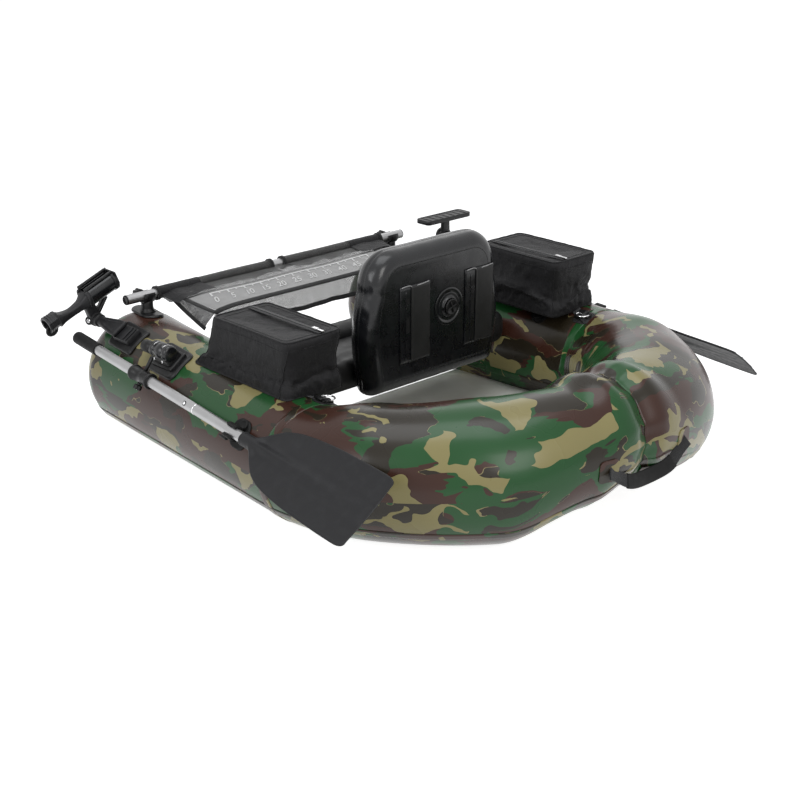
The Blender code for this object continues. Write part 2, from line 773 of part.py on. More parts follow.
def build_back_valve():
    at = frame((BACK_VALVE_X, BACK_REAR_Y - FIT, BACK_VALVE_Z), (1, 0, 0), -ALONG)
    profile = ((0.0, VALVE_BODY), (VALVE_BODY_RADIUS, VALVE_BODY), (VALVE_BODY_RADIUS, VALVE_FLANGE),
               (VALVE_FLANGE_RADIUS, VALVE_FLANGE - FIT), (VALVE_FLANGE_RADIUS, 0.0), (0.0, 0.0))
    show(turned("backrest_valve", profile, at), finishes["black_plastic"])
    cap_at = shifted(at, 0.0, 0.0, VALVE_BODY + FIT)
    cap = drum("backrest_valve_cap", VALVE_CAP_RADIUS, VALVE_CAP, cap_at)
    wing_at = shifted(cap_at, 0.0, 0.0, VALVE_CAP + VALVE_WING_HEIGHT / 2 - FIT)
    wing = block("valve_wing", (VALVE_WING_LENGTH, VALVE_WING_WIDTH, VALVE_WING_HEIGHT), wing_at)
    weld(cap, wing)
    show(cap, finishes["black_plastic"])


def build_hull_valves():
    for name, side in SIDES.items():
        at = tube_frame(side, HULL_VALVE_Y, HULL_VALVE_ANGLE)
        profile = ((0.0, HULL_VALVE_CAP_RAISE), (HULL_VALVE_CAP_RADIUS, HULL_VALVE_CAP_RAISE),
                   (HULL_VALVE_CAP_RADIUS, HULL_VALVE_RAISE), (HULL_VALVE_RADIUS, HULL_VALVE_RAISE - FIT),
                   (HULL_VALVE_RADIUS, -HULL_VALVE_ROOT), (0.0, -HULL_VALVE_ROOT))
        valve = turned("hull_valve_" + name, profile, at)
        carve(valve, grown(side, FIT))
        show(valve, finishes["black_plastic"])


def build_bar():
    start = frame((-BAR_ENDS[PORT], BAR_Y, BAR_Z), UP, (1, 0, 0))
    length = BAR_ENDS[PORT] + BAR_ENDS[STARBOARD]
    show(pipe("cross_bar", BAR_RADIUS, BAR_BORE, 0.0, length, start), finishes["aluminium"])
    for name, side in SIDES.items():
        end = frame((side * BAR_ENDS[side], BAR_Y, BAR_Z), UP, (side, 0, 0))
        profile = ((0.0, PLUG_HEAD), (BAR_RADIUS - PLUG_HEAD / 3, PLUG_HEAD), (BAR_RADIUS, PLUG_HEAD / 2),
                   (BAR_RADIUS, FIT), (BAR_BORE - FIT, FIT), (BAR_BORE - FIT, -PLUG_DEPTH),
                   (0.0, -PLUG_DEPTH))
        show(turned("bar_plug_" + name, profile, end), finishes["black_plastic"])
        build_clamp(name, side)


def build_clamp(name, side):
    x, radius = tube_at(BAR_Y)
    angle = math.acos((CLAMP_X - x) / radius)
    outline = rounded(CLAMP_PAD_WIDTH / 2, CLAMP_PAD_LENGTH / 2, CLAMP_PAD_WIDTH / 2 - FIT)
    clamp = patch("bar_clamp_" + name, tube_frame(side, BAR_Y, angle), outline, CLAMP_PAD, side)
    foot_z = radius + radius * math.sin(angle) - GROUND_PRESS + CLAMP_PAD / 2
    post_top = BAR_Z - BAR_RADIUS
    foot = frame((side * CLAMP_X, BAR_Y, foot_z), (1, 0, 0), UP)
    post = drum("clamp_post", CLAMP_POST_RADIUS, post_top - foot_z, foot)
    reach = BAR_RADIUS + CLAMP_SADDLE_WALL
    low = BAR_Z - reach
    high = BAR_Z + CLAMP_SADDLE_TOP
    rear_y = BAR_Y - reach
    front_y = BAR_Y + reach + CLAMP_LUG
    saddle = block("clamp_saddle", (CLAMP_SADDLE_WIDTH, front_y - rear_y, high - low),
                   frame((side * CLAMP_X, (rear_y + front_y) / 2, (low + high) / 2), (1, 0, 0), UP))
    bar_room = drum("clamp_bore", BAR_RADIUS + FIT, CLAMP_SADDLE_WIDTH * OVERREACH,
                    frame((side * CLAMP_X - CLAMP_SADDLE_WIDTH, BAR_Y, BAR_Z), UP, (1, 0, 0)))
    knob_at = frame((side * CLAMP_X, front_y + KNOB_GAP, BAR_Z - CLAMP_SADDLE_TOP), UP, ALONG)
    knob_room = drum("clamp_hole", KNOB_SHANK_RADIUS + FIT, KNOB_SHANK + KNOB_GAP + FIT,
                     shifted(knob_at, 0.0, 0.0, -KNOB_SHANK - FIT), SMALL_SIDES)
    weld(clamp, post, saddle)
    carve(clamp, bar_room, knob_room)
    show(clamp, finishes["black_plastic"])
    knob = lobed("clamp_knob_" + name, KNOB_RADIUS, KNOB_LENGTH, KNOB_LOBES, knob_at)
    weld(knob, drum("knob_shank", KNOB_SHANK_RADIUS, KNOB_SHANK + KNOB_LENGTH / 2,
                    shifted(knob_at, 0.0, 0.0, -KNOB_SHANK), SMALL_SIDES))
    show(knob, finishes["black_plastic"])


def build_apron():
    stations = list(zip(APRON_X, APRON_FRONT_Z, APRON_DEPTH, APRON_REAR_Z, BAND_DEPTH, BAND_Z))
    mirrored = [(-s[0], *s[1:]) for s in stations]
    front_y = BAR_Y - SLEEVE_RADIUS - APRON_FRONT_GAP
    rows = []
    for x, front_z, depth, rear_z, band_depth, band_z in mirrored + list(reversed(stations)):
        rear_y = BAR_Y - depth
        row = []
        for k in range(APRON_SPAN_STEPS + 1):
            share = k / APRON_SPAN_STEPS
            sag = APRON_SAG * math.sin(math.pi * share)
            row.append((x, front_y + (rear_y - front_y) * share, front_z + (rear_z - front_z) * share - sag))
        rows.append(row + [(x, BAR_Y - band_depth, band_z)])
    show(sheet("apron_screen", rows, APRON_SHEET), finishes["mesh"])
    for name, (start, end) in SLEEVES.items():
        at = frame((start, BAR_Y, BAR_Z), UP, (1, 0, 0))
        sleeve = pipe("bar_sleeve_" + name, SLEEVE_RADIUS, BAR_RADIUS + FIT, 0.0, end - start, at)
        show(sleeve, finishes["mesh"])


def bag_ring(side, level, inset, puff):
    out, raised = BAG_SHIFT[side]
    height = BAG_BOTTOM_Z + (BAG_TOP_Z + raised - BAG_BOTTOM_Z) * level
    front = BAG_FRONT_LOW_Y + (BAG_FRONT_TOP_Y - BAG_FRONT_LOW_Y) * level
    middle = Vector(((BAG_INNER_X + BAG_OUTER_X) / 2 + out, (front + BAG_REAR_Y) / 2))
    half_x = (BAG_OUTER_X - BAG_INNER_X) / 2 - inset
    half_y = (front - BAG_REAR_Y) / 2 - inset
    ring = []
    for x, y in rounded(half_x - puff, half_y - puff, BAG_CORNER - inset / 2, BAG_CORNER_STEPS):
        ring.append((x, y))
    full = []
    for here, there in zip(ring, ring[1:] + ring[:1]):
        full.append(here)
        span = math.hypot(there[0] - here[0], there[1] - here[1])
        if span > 2 * BAG_CORNER:
            mid_x = (here[0] + there[0]) / 2
            mid_y = (here[1] + there[1]) / 2
            push_x = puff * mid_x / max(abs(mid_x), abs(mid_y))
            push_y = puff * mid_y / max(abs(mid_x), abs(mid_y))
            full.append((mid_x + push_x, mid_y + push_y))
    return [(side * (middle.x + x), middle.y + y, height) for x, y in full]


def build_bags():
    for name, side in SIDES.items():
        rings = [bag_ring(side, level, BAG_INSET * inset, BAG_PUFF * puff) for level, inset, puff
                 in zip(BAG_LEVEL_SHARES, BAG_INSET_SHARES, BAG_PUFF_SHARES)]
        bag = skin("cargo_bag_" + name, rings)
        carve(bag, grown(side, FIT))
        show(bag, finishes["nylon"])
        top = BAG_TOP_Z + BAG_SHIFT[side][1]
        slider_at = frame((side * ZIP_X, ZIP_Y, top + FIT + ZIP_SIZE[2] / 2), (1, 0, 0), UP)
        slider = block("zip_slider_" + name, ZIP_SIZE, slider_at, ZIP_BEVEL)
        tab_at = shifted(slider_at, 0.0, -(ZIP_SIZE[1] + ZIP_TAB[1]) / 2 + ZIP_BEVEL * 2, 0.0)
        weld(slider, block("zip_tab", ZIP_TAB, tab_at))
        show(slider, finishes["steel"])


def build_rings():
    for name, side in SIDES.items():
        at = tube_frame(side, RING_PATCH_Y, RING_PATCH_ANGLE)
        outline = rounded(RING_PATCH_WIDTH / 2, RING_PATCH_LENGTH / 2, RING_PATCH_WIDTH / 3)
        base = patch("ring_patch_" + name, at, outline, RING_PATCH, side)
        lug_at = frame(at @ Vector((0.0, -RING_LUG_LENGTH / 2, RING_LUG_RISE)),
                       at.to_3x3() @ Vector((0, 0, 1)), ALONG)
        lug = drum("ring_lug", RING_LUG_RADIUS, RING_LUG_LENGTH, lug_at, SMALL_SIDES)
        root_at = shifted(at, 0.0, 0.0, (RING_LUG_RISE + RING_PATCH) / 2)
        root_size = (2 * RING_LUG_RADIUS, RING_LUG_LENGTH, RING_LUG_RISE - RING_PATCH / 2)
        root = block("ring_root", root_size, root_at)
        hole_at = frame(at @ Vector((0.0, -RING_LUG_LENGTH, RING_LUG_RISE)),
                        at.to_3x3() @ Vector((0, 0, 1)), ALONG)
        hole = drum("ring_hole", RING_WIRE + FIT, OVERREACH * RING_LUG_LENGTH, hole_at, SMALL_SIDES)
        weld(base, root, lug)
        carve(base, hole)
        show(base, finishes["black_vinyl"])
        build_ring(name, side, at)


def build_ring(name, side, at):
    """A D-shaped wire whose straight leg runs through the lug."""
    toward = -side
    points = [Vector((0.0, -RING_HALF, 0.0)), Vector((0.0, RING_HALF, 0.0))]
    for k in range(RING_SEGMENTS + 1):
        angle = math.pi / 2 - math.pi * k / RING_SEGMENTS
        points.append(Vector((toward * (RING_HALF * math.cos(angle) + RING_WIRE * 2),
                              RING_HALF * math.sin(angle), 0.0)))
    curve = bpy.data.curves.new("d_ring_" + name, "CURVE")
    curve.dimensions = "3D"
    curve.bevel_depth = RING_WIRE
    curve.bevel_resolution = 2
    spline = curve.splines.new("POLY")
    spline.points.add(len(points) - 1)
    for slot, point in zip(spline.points, points):
        slot.co = (*point, 1.0)
    spline.use_cyclic_u = True
    item = bpy.data.objects.new("d_ring_" + name, curve)
    lean = Matrix.Rotation(-toward * RING_TILT, 4, "Y")
    item.matrix_world = shifted(at, 0.0, 0.0, RING_LUG_RISE) @ lean
    curve.materials.append(finishes["steel"])
    pieces.objects.link(item)


def stern_skin(x, z):
    """The stern skin's y at a given x and height."""
    nearest = None
    for centre, radius, heading in chamber_stations():
        depth = radius * radius - (z + GROUND_PRESS - centre.z) ** 2
        if depth > 0 and centre.y < TURN_START_Y:
            reach = math.sqrt(depth)
            point = Vector((centre.x + reach * math.cos(heading), centre.y - reach * math.sin(heading)))
            gap = abs(point.x - abs(x))
            if nearest is None or gap < nearest[0]:
                nearest = (gap, point.y)
    return nearest[1]


def build_handle():
    stations = list(zip(HANDLE_X, HANDLE_STANDOFF, HANDLE_Z))
    rows = [(-x, standoff, z) for x, standoff, z in stations]
    rows += [(x, standoff, z) for x, standoff, z in reversed(stations[:-1])]
    rings = []
    for x, standoff, z in rows:
        y = stern_skin(x, z) - standoff
        half = HANDLE_WIDTH / 2
        rings.append([(x, y, z + half), (x, y - HANDLE_SHEET, z + half),
                      (x, y - HANDLE_SHEET, z - half), (x, y, z - half)])
    handle = skin("stern_handle", rings)
    carve(handle, grown(PORT, HANDLE_PATCH + FIT * 2), grown(STARBOARD, HANDLE_PATCH + FIT * 2))
    show(handle, finishes["webbing"])
    for name, side in SIDES.items():
        spot = Vector((side * HANDLE_PATCH_X, stern_skin(HANDLE_PATCH_X, HANDLE_Z[0]), HANDLE_Z[0]))
        at = frame(spot, UP, (side * HANDLE_PATCH_LEAN, -1.0, 0.0))
        outline = rounded(HANDLE_PATCH_HALF, HANDLE_PATCH_HALF, HANDLE_PATCH_HALF / 2)
        show(patch("handle_patch_" + name, at, outline, HANDLE_PATCH, side), finishes["camo"])


def oar_frame(side):
    """Placement of an oar: origin at the collar, Z along the shaft to the blade."""
    collar = Vector((side * COLLAR_POINT[0], *COLLAR_POINT[1:]))
    neck = Vector((side * NECK_POINT[0], *NECK_POINT[1:]))
    x, radius = tube_at(COLLAR_POINT[1])
    outward = collar - Vector((side * x, COLLAR_POINT[1], radius))
    outward.y = 0.0
    return frame(collar, outward, neck - collar)


def build_oars():
    for name, side in SIDES.items():
        at = oar_frame(side)
        inward = 1 if (at.to_3x3() @ Vector((0, 1, 0))).z > 0 else -1
        grip_profile = ((0.0, UPPER_START - FIT), (GRIP_SLEEVE, UPPER_START - FIT), (GRIP_SLEEVE, GRIP_END),
                        (GRIP_RADIUS, GRIP_END), (GRIP_RADIUS, GRIP_START + GRIP_CROWN),
                        (GRIP_RADIUS - GRIP_CROWN, GRIP_START), (0.0, GRIP_START))
        show(turned("oar_grip_" + name, grip_profile, at), finishes["rubber"])
        upper = pipe("oar_upper_shaft_" + name, SHAFT_RADIUS, SHAFT_BORE, UPPER_START, UPPER_END, at)
        outward_at = frame(at @ Vector((0.0, 0.0, BUTTON_AT)), at.to_3x3() @ Vector((0, 0, 1)),
                           at.to_3x3() @ Vector((1, 0, 0)))
        carve(upper, drum("button_room", BUTTON_HOLE, OVERREACH * BUTTON_TOP, outward_at, SMALL_SIDES))
        show(upper, finishes["aluminium"])
        joint = UPPER_END + FIT
        profile = ((SHAFT_RADIUS, LOWER_END), (SHAFT_RADIUS, joint), (INNER_RADIUS, joint),
                   (INNER_RADIUS, INNER_START), (INNER_BORE, INNER_START), (INNER_BORE, LOWER_END),
                   (SHAFT_RADIUS, LOWER_END))
        lower = turned("oar_lower_shaft_" + name, profile, at)
        carve(lower, drum("button_pit", BUTTON_HOLE, OVERREACH * BUTTON_TOP, outward_at, SMALL_SIDES))
        show(lower, finishes["aluminium"])
        button = drum("oar_button_" + name, BUTTON_RADIUS, BUTTON_TOP - BUTTON_FOOT,
                      shifted(outward_at, 0.0, 0.0, BUTTON_FOOT), SMALL_SIDES)
        show(button, finishes["steel"])
        build_collar(name, at, inward)
        build_blade(name, side, at)


def build_collar(name, at, inward):
    half = COLLAR_HALF
    ring = COLLAR_FLANGE_LENGTH
    bore = SHAFT_RADIUS + FIT
    profile = ((COLLAR_FLANGE, half), (COLLAR_FLANGE, half - ring), (COLLAR_RADIUS, half - ring),
               (COLLAR_RADIUS, ring - half), (COLLAR_FLANGE, ring - half), (COLLAR_FLANGE, -half),
               (bore, -half), (bore, half), (COLLAR_FLANGE, half))
    collar = turned("oar_collar_" + name, profile, at)
    across = at.to_3x3() @ Vector((0.0, inward, 0.0))
    pin_at = frame(at.translation + across * PIN_START, at.to_3x3() @ Vector((0, 0, 1)), across)
    weld(collar, drum("pivot_pin", PIN_RADIUS, PIN_END - PIN_START, pin_at, SMALL_SIDES))
    show(collar, finishes["black_plastic"])
    screw_at = frame(at.translation - across * STAR_START, at.to_3x3() @ Vector((0, 0, 1)), -across)
    screw = drum("collar_screw_" + name, STAR_NECK_RADIUS, STAR_NECK + STAR_LENGTH / 2, screw_at, SMALL_SIDES)
    weld(screw, lobed("screw_star", STAR_RADIUS, STAR_LENGTH, STAR_LOBES,
                      shifted(screw_at, 0.0, 0.0, STAR_NECK)))
    show(screw, finishes["black_plastic"])


def blade_ring(index):
    half = BLADE_HALF_WIDTH[index]
    ridge = BLADE_RIDGE[index]
    upper = []
    for share in BLADE_ACROSS_SHARES:
        if index < BLADE_ROUND_RINGS:
            angle = math.pi / 2 * share
            upper.append((half * math.sin(angle), ridge * math.cos(angle)))
        else:
            swell = math.exp(-(half * share / BLADE_RIDGE_WIDTH) ** 2)
            lip = BLADE_LIP * (1 if abs(share) < 1 else 0)
            upper.append((half * share, lip + max(0.0, ridge - BLADE_LIP) * swell))
    lower = [(x, -y) for x, y in reversed(upper[1:-1])]
    return [(x, y, BLADE_SPINE[index]) for x, y in upper + lower]


def build_blade(name, side, at):
    turn = BLADE_TURNS[side]
    wide = Vector((-side * math.sin(turn), 0.0, math.cos(turn)))
    place = frame(at.translation, wide, at.to_3x3() @ Vector((0, 0, 1)))
    blade = skin("oar_blade_" + name, [blade_ring(i) for i in range(len(BLADE_SPINE))], place)
    socket = drum("blade_socket", SOCKET_BORE, LOWER_END + FIT - BLADE_SPINE[0] + COLLAR_HALF,
                  shifted(at, 0.0, 0.0, BLADE_SPINE[0] - COLLAR_HALF))
    carve(blade, socket)
    show(blade, finishes["blade"])


def build_locks():
    for name, side in SIDES.items():
        at = tube_frame(side, LOCK_Y, LOCK_ANGLE)
        outline = rounded(LOCK_WIDTH / 2, LOCK_LENGTH / 2, LOCK_WIDTH / 4)
        base = patch("oarlock_base_" + name, at, outline, LOCK_PLATE, side)
        block_at = shifted(at, 0.0, LOCK_BLOCK_Y, LOCK_BLOCK_LOW + LOCK_BLOCK[2] / 2)
        body = block("lock_body", LOCK_BLOCK, block_at, LOCK_BLOCK_BEVEL)
        weld(base, body)
        oar = oar_frame(side)
        inward = 1 if (oar.to_3x3() @ Vector((0, 1, 0))).z > 0 else -1
        across = oar.to_3x3() @ Vector((0.0, inward, 0.0))
        room_at = frame(oar.translation, oar.to_3x3() @ Vector((0, 0, 1)), across)
        carve(base, drum("pin_room", LOCK_HOLE, PIN_END + FIT, room_at, SMALL_SIDES))
        collar_room = drum("collar_room", COLLAR_FLANGE + FIT * 4, OVERREACH * COLLAR_HALF + FIT * 8,
                           shifted(oar, 0.0, 0.0, -COLLAR_HALF - FIT * 4))
        carve(base, collar_room)
        show(base, finishes["black_plastic"])
        front = LOCK_BLOCK_Y + LOCK_BLOCK[1] / 2 + FIT
        knob_at = frame(at @ Vector((0.0, front, LOCK_KNOB_RISE)), at.to_3x3() @ Vector((0, 0, 1)), ALONG)
        knob = drum("lock_knob_" + name, LOCK_KNOB_RADIUS, LOCK_KNOB_LENGTH, knob_at)
        round_edges(knob, LOCK_KNOB_BEVEL)
        show(knob, finishes["black_plastic"])


def build_clips():
    for name, side in SIDES.items():
        oar = oar_frame(side)
        spot = oar @ Vector((0.0, 0.0, CLIP_AT))
        x, radius = tube_at(spot.y)
        angle = math.atan2(spot.z - radius, side * spot.x - x)
        at = tube_frame(side, spot.y, angle)
        outline = rounded(CLIP_PAD_WIDTH / 2, CLIP_PAD_LENGTH / 2, CLIP_PAD_WIDTH / 3)
        clip = patch("oar_clip_" + name, at, outline, CLIP_PAD, side)
        low = shifted(oar, 0.0, 0.0, CLIP_AT - CLIP_LENGTH / 2)
        body = drum("clip_body", CLIP_OUTER, CLIP_LENGTH, low)
        outward = at.to_3x3() @ Vector((0, 0, 1))
        reach = (spot - at.translation).length
        root_at = frame(spot - outward * reach / 2, at.to_3x3() @ Vector((1, 0, 0)), outward)
        root = block("clip_root", (CLIP_ROOT, CLIP_ROOT_LENGTH, reach), root_at)
        weld(clip, root, body)
        bore = drum("clip_bore", CLIP_BORE, OVERREACH * CLIP_LENGTH,
                    shifted(oar, 0.0, 0.0, CLIP_AT - CLIP_LENGTH))
        lift, across = oar.to_3x3() @ Vector((1, 0, 0)), oar.to_3x3() @ Vector((0, 1, 0))
        mouth_at = frame(spot + lift * CLIP_OUTER / 2, across, lift)
        mouth = block("clip_mouth", (2 * (CLIP_BORE + CLIP_MOUTH_ROOM), OVERREACH * CLIP_LENGTH,
                                     CLIP_MOUTH_DEPTH), mouth_at)
        carve(clip, bore, mouth, grown(side, FIT))
        show(clip, finishes["rubber"])


def build_rod_holder():
    side = PORT
    at = tube_frame(side, ROD_BASE_Y, ROD_BASE_ANGLE)
    outline = rounded(ROD_BASE_WIDTH / 2, ROD_BASE_LENGTH / 2, ROD_BASE_WIDTH / 8)
    base = patch("rod_holder_base", at, outline, ROD_BASE_PLATE, side)
    rail = block("rod_rail", RAIL_SIZE, shifted(at, 0.0, 0.0, RAIL_LOW + RAIL_SIZE[2] / 2), CHANNEL_BEVEL)
    weld(base, rail)
    show(base, finishes["black_plastic"])
    build_rod_stem(at)


def build_rod_stem(at):
    hub = at @ Vector((0.0, STEM_AT[-1], STEM_RISE[-1]))
    normal = at.to_3x3() @ Vector((0, 0, 1))
    rings = []
    for y, wide, tall, rise in zip(STEM_AT, STEM_HALF_WIDTH, STEM_HALF_HEIGHT, STEM_RISE):
        rings.append([(wide * math.cos(a), y, rise + tall * math.sin(a))
                      for a in turns(STEM_SIDES)])
    stem = skin("rod_holder_stem", rings, at)
    hub_at = frame(hub, normal, ALONG)
    band = drum("stem_band", BAND_RADIUS, BAND_LENGTH, shifted(hub_at, 0.0, 0.0, -BAND_LENGTH))
    pin = drum("stem_pin", HUB_PIN_RADIUS, HUB_GAP + HUB_PIN_LENGTH, shifted(hub_at, 0.0, 0.0, -HUB_GAP),
               SMALL_SIDES)
    weld(stem, band, pin)
    rail_room = block("rail_room", (RAIL_SIZE[0] + 2 * FIT, RAIL_SIZE[1] + 2 * FIT, RAIL_SIZE[2] + 2 * FIT),
                      shifted(at, 0.0, 0.0, RAIL_LOW + RAIL_SIZE[2] / 2))
    carve(stem, rail_room)
    show(stem, finishes["black_plastic"])
    build_cradle(hub, HUB_GAP)


def build_cradle(hub, gap):
    """The cradle turns on the stem pin, about an axis along Y through the hub."""
    start = frame(hub + ALONG * gap, UP, ALONG)
    cradle = drum("rod_holder_cradle", HUB_RADIUS, HUB_LENGTH, start)
    run = Vector((math.cos(CRADLE_TILT), 0.0, math.sin(CRADLE_TILT)))
    rise = Vector((-math.sin(CRADLE_TILT), 0.0, math.cos(CRADLE_TILT)))
    core = hub + ALONG * (gap + HUB_LENGTH / 2) + rise * CRADLE_RISE
    body_at = frame(core + run * CRADLE_TUBE_START, rise, run)
    trough = drum("cradle_trough", CRADLE_RADIUS, CRADLE_TIP - CRADLE_TUBE_START, body_at)
    butt_at = frame(core + run * CRADLE_BUTT, rise, run)
    butt = drum("cradle_butt", BUTT_RADIUS, BUTT_LENGTH, butt_at, BUTT_SIDES)
    neck_length = CRADLE_TUBE_START - CRADLE_BUTT
    neck_at = frame(core + run * (CRADLE_BUTT + neck_length / 2) - rise * NECK_DROP, run, rise)
    neck = block("cradle_neck", (neck_length, NECK_WIDTH, NECK_HEIGHT), neck_at, NECK_DROP / 3)
    yoke_at = frame(core - rise * (CRADLE_RISE / 2 + NECK_DROP / 2), run, rise)
    yoke = block("cradle_yoke", (YOKE_WIDTH, YOKE_THICKNESS, CRADLE_RISE), yoke_at)
    weld(cradle, yoke, neck, butt, trough)
    bore = drum("cradle_bore", CRADLE_BORE, OVERREACH * CRADLE_TIP, shifted(body_at, 0, 0, NECK_DROP))
    slot_at = frame(core + run * (CRADLE_TIP + CRADLE_TUBE_START) / 2 + rise * CRADLE_RADIUS, run, rise)
    slot = block("cradle_slot", (CRADLE_TIP * OVERREACH, CRADLE_SLOT, CRADLE_RADIUS), slot_at)
    ring_room = drum("butt_bore", BUTT_BORE, BUTT_LENGTH, shifted(butt_at, 0, 0, -NECK_DROP / 2), BUTT_SIDES)
    pin_room = drum("hub_bore", HUB_PIN_RADIUS + FIT, OVERREACH * HUB_PIN_LENGTH,
                    shifted(start, 0, 0, -HUB_GAP))
    carve(cradle, bore, slot, ring_room, pin_room)
    show(cradle, finishes["black_plastic"])


def build_gear_mount():
    side = STARBOARD
    at = tube_frame(side, GEAR_BASE_Y, GEAR_ANGLE)
    outline = rounded(GEAR_WIDTH / 2, GEAR_LENGTH / 2, GEAR_WIDTH / 4)
    base = patch("gear_base", at, outline, GEAR_PLATE, side)
    body = block("gear_body", GEAR_BLOCK, shifted(at, 0.0, 0.0, LOCK_BLOCK_LOW + GEAR_BLOCK[2] / 2),
                 GEAR_BLOCK_BEVEL)
    pivot = frame((GEAR_PIVOT_X, GEAR_PIVOT_Y, GEAR_PIVOT_Z), UP, ALONG)
    ear = drum("gear_ear", GEAR_EAR_RADIUS, GEAR_EAR, pivot)
    foot = block("gear_foot", (GEAR_FOOT_WIDTH, GEAR_EAR, GEAR_EAR_FOOT),
                 frame((GEAR_PIVOT_X, GEAR_PIVOT_Y + GEAR_EAR / 2, GEAR_PIVOT_Z - GEAR_EAR_FOOT / 2),
                       (1, 0, 0), UP))
    weld(base, body, foot, ear)
    carve(base, drum("gear_bore", GEAR_SCREW_BORE, OVERREACH * GEAR_EAR,
                     shifted(pivot, 0.0, 0.0, -GEAR_EAR / 2), SMALL_SIDES))
    show(base, finishes["black_plastic"])
    front = GEAR_BLOCK[1] / 2 + FIT
    knob_at = frame(at @ Vector((0.0, front, GEAR_KNOB_RISE)), at.to_3x3() @ Vector((0, 0, 1)), ALONG)
    knob = drum("gear_lock_knob", GEAR_KNOB_RADIUS, GEAR_KNOB_LENGTH, knob_at)
    round_edges(knob, LOCK_KNOB_BEVEL)
    show(knob, finishes["black_plastic"])
    build_gear_table(pivot)


def build_gear_table(pivot):
    rear = shifted(pivot, 0.0, 0.0, -GEAR_EAR - GEAR_EAR_GAP)
    arm = drum("gear_table", GEAR_EAR_RADIUS, GEAR_EAR, rear)
    x, y, z = GEAR_TABLE_SIZE
    neck_top = GEAR_TABLE_Z
    neck_height = neck_top - GEAR_PIVOT_Z
    neck_y = GEAR_PIVOT_Y - GEAR_EAR / 2 - GEAR_EAR_GAP
    neck = block("table_neck", (GEAR_NECK_WIDTH, GEAR_EAR, neck_height),
                 frame((GEAR_PIVOT_X, neck_y, GEAR_PIVOT_Z + neck_height / 2), (1, 0, 0), UP))
    outline = [(x / 2 - GEAR_TABLE_CHAMFER, y / 2), (GEAR_TABLE_CHAMFER - x / 2, y / 2),
               (-x / 2, y / 2 - GEAR_TABLE_CHAMFER), (-x / 2, GEAR_TABLE_CHAMFER - y / 2),
               (GEAR_TABLE_CHAMFER - x / 2, -y / 2), (x / 2 - GEAR_TABLE_CHAMFER, -y / 2),
               (x / 2, GEAR_TABLE_CHAMFER - y / 2), (x / 2, y / 2 - GEAR_TABLE_CHAMFER)]
    top = prism("table_top", outline, -z / 2, z / 2,
                frame((GEAR_PIVOT_X - GEAR_EAR / 2, neck_y, GEAR_TABLE_Z), (1, 0, 0), UP))
    weld(arm, neck, top)
    carve(arm, drum("table_bore", GEAR_SCREW_BORE, OVERREACH * GEAR_EAR,
                    shifted(rear, 0.0, 0.0, -GEAR_EAR / 2), SMALL_SIDES))
    show(arm, finishes["black_plastic"])
    length = 2 * GEAR_EAR + GEAR_EAR_GAP
    knob_at = shifted(rear, 0.0, 0.0, -GEAR_KNURL - GEAR_EAR_GAP)
    knob = lobed("gear_knob", GEAR_KNURL_RADIUS, GEAR_KNURL, GEAR_KNURL_LOBES, knob_at)
    weld(knob, drum("gear_screw", GEAR_SCREW_RADIUS, GEAR_KNURL / 2 + GEAR_EAR_GAP + length,
                    shifted(knob_at, 0.0, 0.0, GEAR_KNURL / 2), SMALL_SIDES))
    show(knob, finishes["black_plastic"])


clear_scene()
pieces = new_collection("float_tube")
tools = new_collection("cutters")
hull_tools = {}
finishes = {
    "camo": make_material("camo_vinyl", (0.09, 0.13, 0.06), 0.35),
    "pale_vinyl": make_material("pale_vinyl", (0.50, 0.52, 0.42), 0.50),
    "black_vinyl": make_material("black_vinyl", (0.02, 0.02, 0.022), 0.30),
    "nylon": make_material("black_nylon", (0.018, 0.018, 0.02), 0.70),
    "mesh": make_material("apron_mesh", (0.05, 0.05, 0.05), 0.80),
    "webbing": make_material("black_webbing", (0.02, 0.02, 0.02), 0.75),
    "aluminium": make_material("aluminium", (0.60, 0.60, 0.60), 0.35, 1.0),
    "steel": make_material("steel", (0.55, 0.55, 0.55), 0.25, 1.0),
    "black_plastic": make_material("black_plastic", (0.022, 0.022, 0.024), 0.45),
    "blade": make_material("blade_plastic", (0.045, 0.045, 0.048), 0.60),
    "rubber": make_material("black_rubber", (0.02, 0.02, 0.02), 0.80),
}
build_hull()
build_floor()
build_seat()
build_backrest()
build_hull_valves()
build_bar()
build_apron()
build_bags()
build_rings()
build_handle()
build_oars()
build_locks()
build_clips()
build_rod_holder()
build_gear_mount()
settle()
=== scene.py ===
import json
import math

import bmesh
import bpy
import numpy as np
from mathutils import Matrix, Vector

